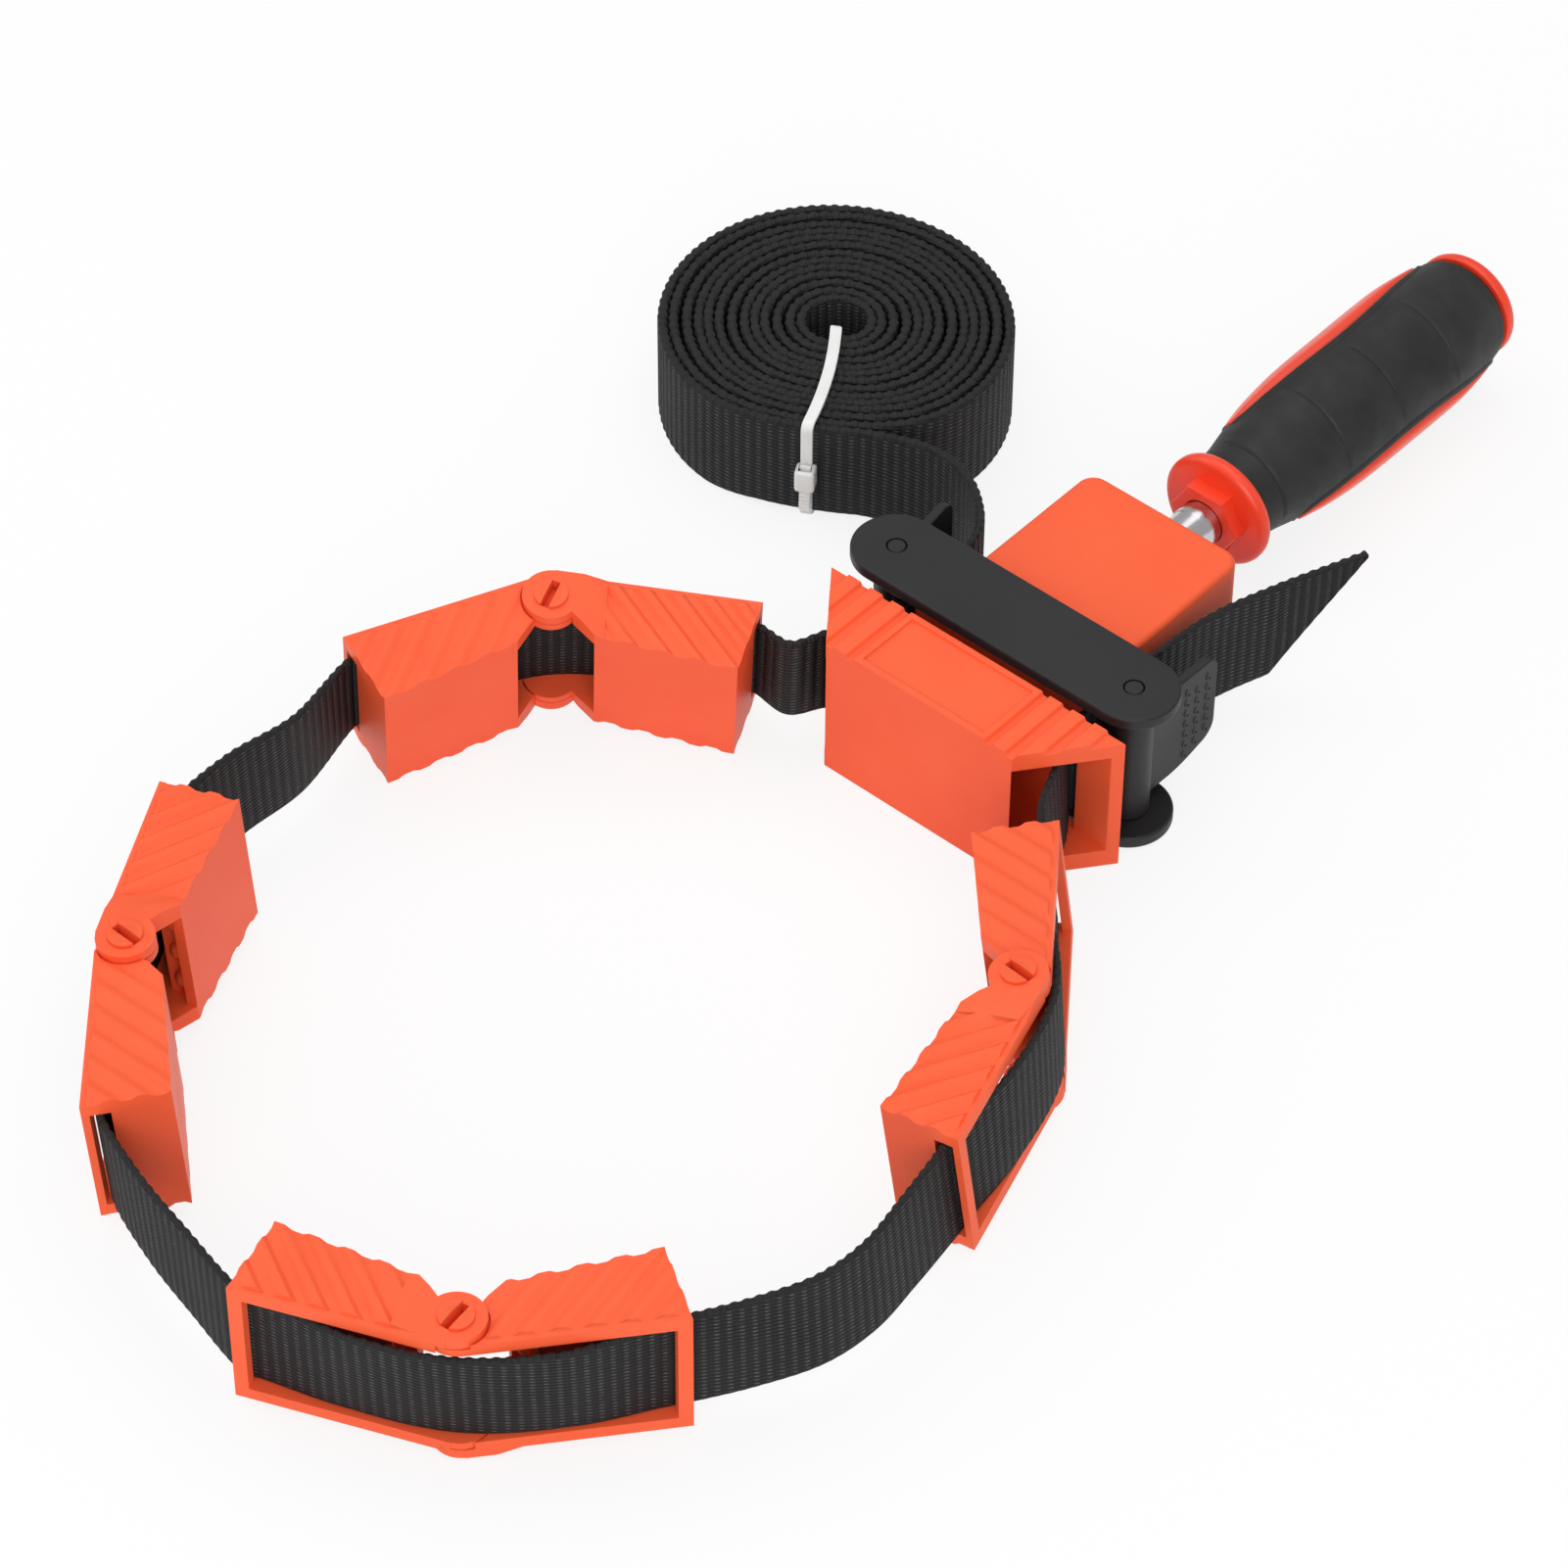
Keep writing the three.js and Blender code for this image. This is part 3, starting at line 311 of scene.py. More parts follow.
looks = {
    "orange": mouldedLook("orangePlastic", (0.98, 0.130, 0.043), (0.95, 0.116, 0.037), roughness=0.47, grain=0.3,
                          inside=0.1, sheen=0.28),
    "orangeDeep": mouldedLook("orangeHandlePlastic", (0.95, 0.062, 0.018), (0.88, 0.050, 0.014), roughness=0.32,
                              grain=0.2, inside=0.1),
    "black": mouldedLook("blackPlastic", (0.0135, 0.012, 0.014), (0.009, 0.0085, 0.010), roughness=0.5, grain=0.5,
                         sheen=0.42),
}


def rubberLook():
    settings = {"color": (0.008, 0.008, 0.008), "dusty": (0.022, 0.022, 0.021), "roughness": 0.6}
    look, tree, shader = newLook("blackRubber", settings["color"], settings["roughness"])
    dust = ranged(tree, noiseNode(tree, 70, 6, 0.7), 0, 1, 0.42, 0.75)
    tree.links.new(mixedColor(tree, dust, settings["color"], settings["dusty"]), shader.inputs["Base Color"])
    tree.links.new(ranged(tree, noiseNode(tree, 120, 5), 0.52, 0.7), shader.inputs["Roughness"])
    bumped(tree, shader, [(noiseNode(tree, 500, 4), 0.3, 0.00006), (noiseNode(tree, 3500, 2), 0.4, 0.00003)])
    return look


def steelLook():
    look, tree, shader = newLook("spindleSteel", (0.62, 0.61, 0.63), 0.2, 1.0)
    rings = noiseNode(tree, 40, 4, stretch=(1, 70, 1))
    tree.links.new(ranged(tree, rings, 0.12, 0.3), shader.inputs["Roughness"])
    bumped(tree, shader, [(rings, 0.2, 0.00003)])
    return look


def nylonLook():
    look, tree, shader = newLook("whiteNylon", (0.86, 0.86, 0.84), 0.35)
    glowInside(shader, 0.3, (1, 0.95, 0.9), 0.0008)
    cloud = ranged(tree, noiseNode(tree, 180, 3), 0, 1)
    tree.links.new(mixedColor(tree, cloud, (0.88, 0.88, 0.86), (0.80, 0.80, 0.78)), shader.inputs["Base Color"])
    bumped(tree, shader, [(noiseNode(tree, 900, 3), 0.2, 0.00004)])
    return look


def webbingLook():
    # the UV map counts millimetres along and across the strap, so the weave follows every bend
    settings = {"yarn": 1.0, "slant": 0.12, "stitch": 0.45, "rim": (11.2, 11.8), "color": (0.0055, 0.0055, 0.006),
                # light: the colour of the painted highlights on the yarn floats
                "light": (0.15, 0.15, 0.155), "worn": (0.017, 0.017, 0.018), "selvedge": (0.017, 0.017, 0.018),
                "roughness": 0.62, "sheen": 0.26}
    look, tree, shader = newLook("blackWebbing", settings["color"], settings["roughness"])
    weave = tree.nodes.new("ShaderNodeUVMap")
    weave.uv_map = "weave"
    uv = weave.outputs["UV"]
    parts = tree.nodes.new("ShaderNodeSeparateXYZ")
    tree.links.new(uv, parts.inputs["Vector"])
    along, across = parts.outputs["X"], parts.outputs["Y"]
    # each yarn slants a little as it dives between two picks
    slanted = mathNode(tree, "MULTIPLY_ADD", along, settings["slant"], across)
    toGroove = mathNode(tree, "PINGPONG", along, weavePick / 2)
    toYarn = mathNode(tree, "PINGPONG", slanted, settings["yarn"] / 2)
    fromMiddle = mathNode(tree, "ABSOLUTE", across)
    # painted highlight: a light dash on each yarn beside a groove, standing for the gleam of the yarn floats, uneven
    # along the strap and none on the selvedges
    paintedHighlight = ranged(tree, toGroove, 0, 1, 0.62, 0.98)
    for share in (ranged(tree, toYarn, 0, 1, 0.3, 0.42),
                  ranged(tree, noiseNode(tree, 0.9, 3, 0.5, (0.8, 1.6, 1), uv), 0.25, 1),
                  ranged(tree, fromMiddle, 1, 0, *settings["rim"])):
        paintedHighlight = mathNode(tree, "MULTIPLY", paintedHighlight, share)
    stitches = mathNode(tree, "MULTIPLY", mathNode(tree, "PINGPONG", along, settings["stitch"]),
                        ranged(tree, fromMiddle, 0, 2.2, *settings["rim"]))
    face = mixedColor(tree, ranged(tree, noiseNode(tree, 60, 4), 0, 0.5), settings["color"], settings["worn"])
    # the selvedge colour is painted light: the rims turn lighter to stand for the lamps on the coil's upturned edges
    faceWithLitSelvedges = mixedColor(tree, ranged(tree, fromMiddle, 0, 1, 11.4, 12), face, settings["selvedge"])
    tree.links.new(mixedColor(tree, paintedHighlight, faceWithLitSelvedges, settings["light"]), shader.inputs["Base Color"])
    cords = ranged(tree, toYarn, 1, 0, 0, 0.5)
    picks = ranged(tree, toGroove, 1, 0, 0.2, 1.25)
    fuzz = noiseNode(tree, 1.2, 3, 0.5, (0.9, 9, 1), uv)
    bumped(tree, shader, [(picks, 0.5, 0.0002), (cords, 0.9, 0.00022), (stitches, 0.8, 0.0002), (fuzz, 0.5, 0.00006)])
    shader.inputs["Specular IOR Level"].default_value = settings["sheen"]
    return look


looks["rubber"] = rubberLook()
looks["steel"] = steelLook()
looks["nylon"] = nylonLook()
looks["webbing"] = webbingLook()
print("materials made")


# Carriage: two plates on two pins

plates = {"pinSpacing": 62.4, "radius": 9.6, "thickness": 2.9, "height": 36.8, "edge": 0.55, "pinHole": 2.2,
          "holeEdge": 0.15, "pinRadius": 1.95, "pinEdge": 0.3, "pinInset": 0.05, "steps": 96}


def carriagePlate(name, low, node):
    half = plates["pinSpacing"] / 2
    bm = bmesh.new()
    bmesh.ops.create_circle(bm, cap_ends=True, segments=plates["steps"], radius=plates["radius"])
    for vert in bm.verts:
        vert.co.x += half if vert.co.x > 0 else -half
    rim = bmesh.ops.extrude_face_region(bm, geom=bm.faces[:], use_keep_orig=True)
    bmesh.ops.translate(bm, vec=(0, 0, plates["thickness"]), verts=newVerts(rim))
    bmesh.ops.translate(bm, vec=(0, 0, low), verts=bm.verts)
    bmesh.ops.recalc_face_normals(bm, faces=bm.faces)
    holes = [cylinder(plates["pinHole"], low - 1, low + plates["thickness"] + 1, side * half) for side in (-1, 1)]
    bm = carved(bm, holes)

    def fromPin(edge):
        spot = edge.verts[0].co.xy
        return (spot - Vector((math.copysign(half, spot.x), 0))).length

    softenEdges(bm, plates["edge"], 3, 60, lambda e: fromPin(e) > 2 * plates["pinHole"])
    softenEdges(bm, plates["holeEdge"], 2, 60, lambda e: fromPin(e) < 1.5 * plates["pinHole"])
    finishPiece(bm, name, "black", "carriage", [node])


carriagePlate("plateLower", 0, "bottom_plate")
carriagePlate("plateUpper", plates["height"] - plates["thickness"], "top_plate")
for side, word in ((-1, "left"), (1, "right")):
    pin = cylinder(plates["pinRadius"], plates["pinInset"], plates["height"] - plates["pinInset"],
                   side * plates["pinSpacing"] / 2, 0, 48)
    softenEdges(pin, plates["pinEdge"], 3, 60)
    finishPiece(pin, "leverPin" + word.capitalize(), "black", "carriage", ["lever_pin_" + word])

# Cam levers

lever = {"hubRadius": 4.6, "lobeOffset": 1.7, "lobeRadius": 4.3, "reach": 24, "thickness": 2.2, "offset": 1.7,
         "top": 30.6, "bottom": 5.8, "outerBottom": 9, "chamferStart": 13, "corner": 3.4, "low": 3.2, "high": 33.6,
         "splay": {"right": 1, "left": 9}, "edge": 0.45, "hubEdge": 0.3, "pinClear": 0.25,
         "dotRadius": 1.0, "dotWire": 0.25, "dotColumns": 3, "dotRows": 8, "dotPitch": 2.9, "columnPitch": 3.3,
         "dotInset": 2.6, "dotDrop": 4.2, "dotClear": 1.8, "dotSlope": 0.25, "dotStart": 11.5, "dotTurn": 25,
         "dotSweep": 170}


def gripDots(side):
    # rows of small raised crescents on the tab's outer face
    dots = bmesh.new()
    face = side * (lever["offset"] + lever["thickness"] / 2)
    for column in range(lever["dotColumns"]):
        for row in range(lever["dotRows"]):
            y = lever["reach"] - lever["dotInset"] - column * lever["columnPitch"]
            z = lever["top"] - lever["dotDrop"] - row * lever["dotPitch"] - (column % 2) * lever["dotPitch"] / 2
            lowest = lever["outerBottom"] + lever["dotClear"] - (lever["reach"] - y) * lever["dotSlope"]
            if z < lowest or y < lever["dotStart"]:
                continue
            dot = bmesh.new()
            stand = Matrix.Translation((0, lever["dotRadius"], 0)) @ Matrix.Rotation(math.pi / 2, 4, "Y")
            ring = bmesh.ops.create_circle(dot, segments=6, radius=lever["dotWire"], matrix=stand)
            geom = ring["verts"] + list(dot.edges)
            bmesh.ops.rotate(dot, cent=(0, 0, 0), matrix=Matrix.Rotation(math.radians(lever["dotTurn"]), 3, "Z"),
                             verts=dot.verts)
            bmesh.ops.spin(dot, geom=geom, cent=(0, 0, 0), axis=(0, 0, 1), angle=math.radians(lever["dotSweep"]),
                           steps=7)
            bmesh.ops.holes_fill(dot, edges=[e for e in dot.edges if e.is_boundary])
            bmesh.ops.recalc_face_normals(dot, faces=dot.faces)
            mergeInto(dots, dot, Matrix.Translation((face, y, z)) @ Matrix.Rotation(side * math.pi / 2, 4, "Y")
                   @ Matrix.Rotation(math.pi / 2, 4, "Z"))
    return dots


def camLever(word, side):
    hub = cylinder(lever["hubRadius"], lever["low"], lever["high"], 0, 0, 72)
    lobe = cylinder(lever["lobeRadius"], lever["low"], lever["high"], -side * lever["lobeOffset"], 0, 72)
    top, bottom, reach = lever["top"], lever["bottom"], lever["reach"]
    outline = [(0, bottom), (lever["chamferStart"], bottom), (reach, lever["outerBottom"]), (reach, top), (0, top)]
    tab = slab(outline, -lever["thickness"] / 2, lever["thickness"] / 2)
    roundEdges(tab, [e for e in tab.edges if isUpright(e) and e.verts[0].co.x > 1], lever["corner"], 8)
    # the outline's X becomes the tab's reach and its Y the height
    tab.transform(Matrix(((0, 0, 1, side * lever["offset"]), (1, 0, 0, 0), (0, 1, 0, 0), (0, 0, 0, 1))))
    bmesh.ops.recalc_face_normals(tab, faces=tab.faces)
    softenEdges(tab, lever["edge"], 3, 50)
    whole = carved(hub, [lobe], "UNION")
    whole = carved(whole, [cylinder(plates["pinRadius"] + lever["pinClear"], 0, 40)])
    softenEdges(whole, lever["hubEdge"], 2, 60)
    mergeInto(whole, tab)
    mergeInto(whole, gripDots(side))
    place = (Matrix.Translation((side * plates["pinSpacing"] / 2, 0, 0))
             @ Matrix.Rotation(math.radians(-side * lever["splay"][word]), 4, "Z"))
    finishPiece(whole, "camLever" + word.capitalize(), "black", "lever_" + word,
                ["cam_lever_" + word], place=place)


camLever("right", 1)
camLever("left", -1)
print("carriage and levers made")

# Rear block

handle = {"axisHeight": 18.6, "hexFront": 63, "hexFlats": 15, "hexLength": 3.4, "hexEdge": 0.4, "hexBore": 5.2,
          "collarBore": 5.6, "flangeRadius": 13.2, "flangeThickness": 3.6, "spindleRadius": 5}
rear = {"halfWidth": 20.2, "height": 22.8, "back": 50, "neckFront": -4, "neckBack": 11, "neckHalfWidth": 22.9,
        "corner": 4, "edge": 1.3, "neckEdge": 0.5, "plateGap": 3.2, "bore": 5.35, "boreFront": -12, "boreMouth": 1.1}


def rearBlock():
    low = handle["axisHeight"] - rear["height"] / 2
    back, front = rear["back"], rear["boreFront"]
    narrow, wide = rear["bore"], rear["bore"] + rear["boreMouth"]
    body = block((-rear["halfWidth"], rear["neckBack"] - 1, low), (rear["halfWidth"], back, low + rear["height"]))
    roundEdges(body, [e for e in body.edges if isUpright(e) and e.verts[0].co.y > back - 1], rear["corner"], 10)
    softenEdges(body, rear["edge"], 5, 50, lambda e: max(v.co.y for v in e.verts) > rear["neckBack"])
    neck = block((-rear["neckHalfWidth"], rear["neckFront"], rear["plateGap"]),
                 (rear["neckHalfWidth"], rear["neckBack"], plates["height"] - rear["plateGap"]))
    softenEdges(neck, rear["neckEdge"], 3, 50)
    whole = carved(body, [neck], "UNION")
    bore = turnedShape([(front, 0), (front, narrow), (back - 0.8, narrow), (back + 0.3, wide), (back + 2, wide),
                        (back + 2, 0)], 72)
    whole = carved(whole, [bore])
    finishPiece(whole, "rearBlock", "orange", "carriage", ["rear_block"], sharp=30)


rearBlock()

# Front block

frontBlock = nodeCopy("front_block")
softenEdges(frontBlock, 0.32, 2, 20)
finishPiece(frontBlock, "frontBlock", "orange", "block", ["front_block"], sharp=40)
print("blocks made")

# Corner jaws

jaw = {"height": 31, "outerEnd": (43.1, 1.6), "outerNear": 6.05, "edge": 0.3,
       "ribAngle": 35, "ribPitch": 4.9, "ribHeight": 0.85, "ribBase": 0.12, "ribReach": (-18, 38),
       "ribFoot": 0.3, "ribSlope": 0.4, "rim": 1.2, "rimStep": 0.14, "earClear": 6.9, "earFade": 1.2,
       "knobRadius": 1.9, "knobStep": 8, "knobSpot": (12.6, -6.2), "domeHeight": 0.7, "domeRadius": 3.4,
       "domeSink": 0.05, "slotWidth": 1.8, "slotAngle": -52, "pinTop": 17.15}
jaws = [
    {"name": "jaw_1", "pivot": (-77.3, -54.9, 19.9), "left": 237.3, "right": 39.2, "fold": "left",
     "lean": 12.4, "strapLean": 10.5, "belly": (0.3, 0.5, 0.3)},
    {"name": "jaw_2", "pivot": (-70.9, -180.5, 19.6), "left": 305.8, "right": 124.6, "fold": "left",
     "lean": -3.4, "strapLean": -3.4, "belly": (1.4, 2.2, 1.4)},
    {"name": "jaw_3", "pivot": (39.7, -206.8, 17.7), "left": 44.3, "right": 208.7, "fold": "left",
     "lean": 0, "strapLean": -7, "belly": (3.6, 4.6, 4.2)},
    {"name": "jaw_4", "pivot": (64.2, -72.7, 18.2), "left": 121.2, "right": 292.1, "fold": "right",
     "lean": 7.5, "strapLean": 4, "belly": (4.4, 6, 2.4)},
]


def jawTangent(entry):
    return (planWay(entry["right"]) - planWay(entry["left"])).normalized().to_3d()


def leaning(entry, key="lean"):
    return Matrix.Rotation(math.radians(entry[key]), 4, jawTangent(entry))


def jawPlace(entry, half):
    way = planWay(entry[half])
    out = Vector((-way.y, way.x)) if half == "right" else Vector((way.y, -way.x))
    up = 1 if half == "right" else -1
    basis = Matrix(((way.x, out.x, 0, 0), (way.y, out.y, 0, 0), (0, 0, up, 0), (0, 0, 0, 1)))
    return Matrix.Translation(entry["pivot"]) @ leaning(entry) @ basis


def outerLine(x):
    return jaw["outerNear"] + (jaw["outerEnd"][1] - jaw["outerNear"]) * x / jaw["outerEnd"][0]


def ribWave(x, y):
    # height of the moulded ribs over a plate, flat near the ear and along the open edge
    across = x * math.cos(math.radians(jaw["ribAngle"])) + y * math.sin(math.radians(jaw["ribAngle"]))
    phase = across / jaw["ribPitch"] % 1
    ramp = 1 - abs(2 * phase - 1)
    wave = clamped((ramp - jaw["ribFoot"]) / jaw["ribSlope"])
    fade = clamped((math.hypot(x, y) - jaw["earClear"]) / jaw["earFade"])
    ledge = 1 if y < outerLine(x) - jaw["rim"] + jaw["rimStep"] / 2 else 0
    return (jaw["ribHeight"] * wave - jaw["ribBase"]) * fade * ledge


def ribbedPlate(bm, sense):
    # cuts one plate along its ribs, then raises them
    top = jaw["height"] / 2
    normal = Vector((math.cos(math.radians(jaw["ribAngle"])), math.sin(math.radians(jaw["ribAngle"])), 0))

    def onPlate(vert):
        return abs(vert.co.z * sense - top) < jaw["edge"] + 0.02

    def plateFaces():
        faces = [f for f in bm.faces if all(onPlate(v) for v in f.verts)]
        return faces + list({e for f in faces for e in f.edges}) + list({v for f in faces for v in f.verts})

    slope = Vector((jaw["outerNear"] - jaw["outerEnd"][1], jaw["outerEnd"][0], 0)).normalized()
    for inset in (jaw["rim"], jaw["rim"] - jaw["rimStep"]):
        bmesh.ops.bisect_plane(bm, geom=plateFaces(), plane_co=(0, jaw["outerNear"] - inset, 0), plane_no=slope)
    first, last = (bound / jaw["ribPitch"] for bound in jaw["ribReach"])
    for index in range(math.floor(first), math.ceil(last)):
        for mark in (0.15, 0.35, 0.65, 0.85):  # where a rib's two slopes begin and end
            at = (index + mark) * jaw["ribPitch"]
            bmesh.ops.bisect_plane(bm, geom=plateFaces(), plane_co=normal * at, plane_no=normal)
    for vert in {v for f in bm.faces for v in f.verts if onPlate(v)}:
        vert.co.z += sense * ribWave(vert.co.x, vert.co.y)


def pinDome(bm):
    # two low half domes beside the split pin's slot
    for side in (-1, 1):
        dome = bmesh.new()
        bmesh.ops.create_uvsphere(dome, u_segments=40, v_segments=20, radius=jaw["domeRadius"])
        bmesh.ops.scale(dome, vec=(1, 1, jaw["domeHeight"] / jaw["domeRadius"]), verts=dome.verts)
        slotSide = side * (jaw["slotWidth"] / 2 + jaw["domeSink"])
        for point, way in (((0, 0, -jaw["domeSink"]), (0, 0, -1)), ((0, slotSide, 0), (0, -side, 0))):
            cutGeom = bmesh.ops.bisect_plane(dome, geom=dome.verts[:] + dome.edges[:] + dome.faces[:],
                                             plane_co=point, plane_no=way, clear_outer=True)
            rim = [g for g in cutGeom["geom_cut"] if isinstance(g, bmesh.types.BMEdge)]
            bmesh.ops.edgeloop_fill(dome, edges=rim)
        bmesh.ops.recalc_face_normals(dome, faces=dome.faces)
        mergeInto(bm, dome, Matrix.Translation((0, 0, -jaw["pinTop"])) @ Matrix.Rotation(math.pi, 4, "X")
               @ Matrix.Rotation(math.radians(-jaw["slotAngle"]), 4, "Z"))


def jawHalf():
    # one moulding, taken in its own frame: X from the pin along the half, Y to the open side
    bm = nodeCopy("jaw_1_base")
    bm.transform(jawPlace(jaws[0], "right").inverted())
    softenEdges(bm, jaw["edge"], 2, 25)
    for sense in (1, -1):
        ribbedPlate(bm, sense)
    pinDome(bm)
    for step in (-1, 0, 1):
        knob = bmesh.new()
        bmesh.ops.create_uvsphere(knob, u_segments=24, v_segments=14, radius=jaw["knobRadius"])
        mergeInto(bm, knob, Matrix.Translation((*jaw["knobSpot"], step * jaw["knobStep"])))
    return bm


halfMesh = jawHalf()
for entry in jaws:
    for half in ("right", "left"):
        part = "fold" if half == entry["fold"] else "base"
        node = entry["name"] + "_" + part
        body = entry["name"] + ("_fold" if part == "fold" else "")
        name = entry["name"].replace("_", "") + part.capitalize()
        finishPiece(halfMesh.copy(), name, "orange", body, [node], 40, jawPlace(entry, half))
halfMesh.free()
print("jaws made")

# Webbing

strap = {"width": 25, "thickness": 1.5, "midHeight": 17.7, "spacing": 0.625, "ribShare": 0.16, "selvedge": 0.15,
         "coilThickness": 2.12}
# the band's cross section, as shares of half its thickness and half its width
section = ([(1, level) for level in (0.94, 0.5, 0, -0.5, -0.94)] + [(0.7, -0.985), (0, -1), (-0.7, -0.985)]
           + [(-1, level) for level in (-0.94, -0.5, 0, 0.5, 0.94)] + [(-0.7, 0.985), (0, 1), (0.7, 0.985)])

# plan points of the ring's centre line, and its points in a jaw's half: its mouth, its lip and halfway in
route = {"gripLine": 24, "carriageEnd": -9, "blockRight": [(34.8, -31.2), (31.4, -24.4), (28.3, -18), (25, -12.6)],
         "blockLeft": [(-34.8, -29.4), (-31.2, -23), (-28.2, -17.6), (-25, -12.6)],
         "spans": [[(-94.3, -112), (-95.2, -129)], [(-29.5, -219), (-15, -222.3)],
                   [(75.2, -165), (80.9, -152.5), (82.4, -140.5), (80.8, -127.5)]],
         "mouth": (42.3, -1.9), "lip": (39.4, -1.3), "halfway": 20, "pinTurn": 9}


class Line:
    # a smooth line through points, on the same course as the frame's solids, measured along its length
    def __init__(self, points, ups=None, fine=48):
        points = [Vector(p).to_3d() for p in points]
        ups = ups or [Vector((0, 0, 1))] * len(points)
        chain = [2 * points[0] - points[1]] + points + [2 * points[-1] - points[-2]]
        self.spots, self.ups, self.marks = [], [], [0]
        for index, (p0, p1, p2, p3) in enumerate(zip(chain, chain[1:], chain[2:], chain[3:])):
            d0, d1, d2 = ((b - a).length ** 0.5 for a, b in ((p0, p1), (p1, p2), (p2, p3)))
            t1 = ((p1 - p0) / d0 - (p2 - p0) / (d0 + d1) + (p2 - p1) / d1) * d1
            t2 = ((p2 - p1) / d1 - (p3 - p1) / (d1 + d2) + (p3 - p2) / d2) * d1
            for i in range(fine):
                t = i / fine
                self.spots.append(p1 + t1 * t + (3 * (p2 - p1) - 2 * t1 - t2) * t ** 2
                                  + (2 * (p1 - p2) + t1 + t2) * t ** 3)
                self.ups.append(ups[index].lerp(ups[index + 1], t))
            self.marks.append(len(self.spots))
        self.spots.append(points[-1])
        self.ups.append(ups[-1])
        self.measure()

    def measure(self):
        self.reach = [0.0]
        for a, b in zip(self.spots, self.spots[1:]):
            self.reach.append(self.reach[-1] + (b - a).length)

    def place(self, along):
        i = min(max(bisect_right(self.reach, along) - 1, 0), len(self.spots) - 2)
        return i, (along - self.reach[i]) / max(self.reach[i + 1] - self.reach[i], 1e-9)

    def at(self, along):
        i, share = self.place(along)
        return self.spots[i].lerp(self.spots[i + 1], share)

    def up(self, along):
        i, share = self.place(along)
        return self.ups[i].lerp(self.ups[i + 1], share).normalized()

    def way(self, along):
        return (self.at(min(along + 0.4, self.reach[-1])) - self.at(max(along - 0.4, 0))).normalized()

    def mark(self, index):
        return self.reach[self.marks[index]]


def ribbon(stations):
    # webbing through stations of spot, way, up, low, high, thickness and length so far
    count = len(stations) - 1
    around = len(section)
    bm = bmesh.new()
    bmesh.ops.create_grid(bm, x_segments=count, y_segments=around, size=0.5)
    uv = bm.loops.layers.uv.new("weave")
    for face in bm.faces:
        for loop in face.loops:
            row = round((loop.vert.co.x + 0.5) * count)
            level = section[round((loop.vert.co.y + 0.5) * around) % around][1]
            loop[uv].uv = (stations[row]["along"], level * strap["width"] / 2)
    for vert in bm.verts:
        here = stations[round((vert.co.x + 0.5) * count)]
        side, level = section[round((vert.co.y + 0.5) * around) % around]
        wave = math.cos(2 * math.pi * here["along"] / weavePick)
        half = here["thickness"] / 2 * (1 + strap["ribShare"] * wave)
        middleLevel = (here["low"] + here["high"]) / 2
        edge = (here["high"] - here["low"]) / 2
        bulge = strap["selvedge"] * (wave if level > 0 else -wave) * (abs(level) > 0.6)
        out = here["up"].cross(here["way"]).normalized() * side * half
        vert.co = here["spot"] + out + here["up"] * (middleLevel + level * (edge + bulge))
    return closeTube(bm)


def flatStations(line, start, end, phase=0.0, levels=None):
    steps = max(4, round((end - start) / strap["spacing"]))
    stations = []
    for i in range(steps + 1):
        along = start + (end - start) * i / steps
        low, high = -strap["width"] / 2, strap["width"] / 2
        if levels:
            low, high = levels(along, low, high)
        stations.append({"spot": line.at(along), "way": line.way(along), "up": line.up(along), "low": low, "high": high,
                         "thickness": strap["thickness"], "along": along + phase})
    return stations


def standing(plan):
    return [(Vector((x, y, strap["midHeight"])), Vector((0, 0, 1))) for x, y in plan]


def passing(plan, before, after):
    # points between two others, which take their height and stance from both
    steps = []
    for i, (x, y) in enumerate(plan):
        share = (i + 1) / (len(plan) + 1)
        height = before[0].z + (after[0].z - before[0].z) * share
        steps.append((Vector((x, y, height)), before[1].lerp(after[1], share).normalized()))
    return steps


def jawStrapPoints(entry):
    # through one half, past the pin and out through the other half
    rightBelly, pinBelly, leftBelly = entry["belly"]
    along = jawTangent(entry)
    outward = leaning(entry) @ Vector((-along.y, along.x, 0))
    jawUp = leaning(entry) @ Vector((0, 0, 1))
    strapUp = leaning(entry, "strapLean") @ Vector((0, 0, 1))

    def fromMouth(half, belly):
        spots = [(route["mouth"], jawUp), (route["lip"], jawUp), ((route["halfway"], belly), strapUp)]
        return [(jawPlace(entry, half) @ Vector((*spot, 0)), up) for spot, up in spots]

    atPin = (Vector(entry["pivot"]) + outward * pinBelly, strapUp)
    return fromMouth("right", rightBelly) + [atPin] + fromMouth("left", leftBelly)[::-1]


inJaws = [jawStrapPoints(entry) for entry in jaws]
leadPoint = (-route["gripLine"], route["carriageEnd"])
tailPoint = (route["gripLine"], route["carriageEnd"])
atLeft, atRight = standing([leadPoint, tailPoint])
ringPoints = standing([(-route["gripLine"], 0)]) + [atLeft] + passing(route["blockLeft"][::-1], atLeft, inJaws[0][0])
for inJaw, span, following in zip(inJaws, route["spans"], inJaws[1:]):
    ringPoints += inJaw + passing(span, inJaw[-1], following[0])
ringPoints += inJaws[3] + passing(route["blockRight"], inJaws[3][-1], atRight) + [atRight]
ringPoints += standing([(route["gripLine"], 0)])
ring = Line([spot for spot, up in ringPoints], [up for spot, up in ringPoints])


def strapPiece(name, node, start, end, first, second, turn=None):
    # a stretch of the ring as one unbent piece with no body; the two bodies it is given are not used, and the places
    # given for the turn are looked up and left unused
    piece = finishPiece(ribbon(flatStations(ring, start, end)), name, "webbing", None, [node], 50, even=False)
    turnFrom, turnTo = turn or (start, end)
    rowPoint(*ring.at(turnFrom))
    rowPoint(*ring.at(turnTo))
    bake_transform(piece)


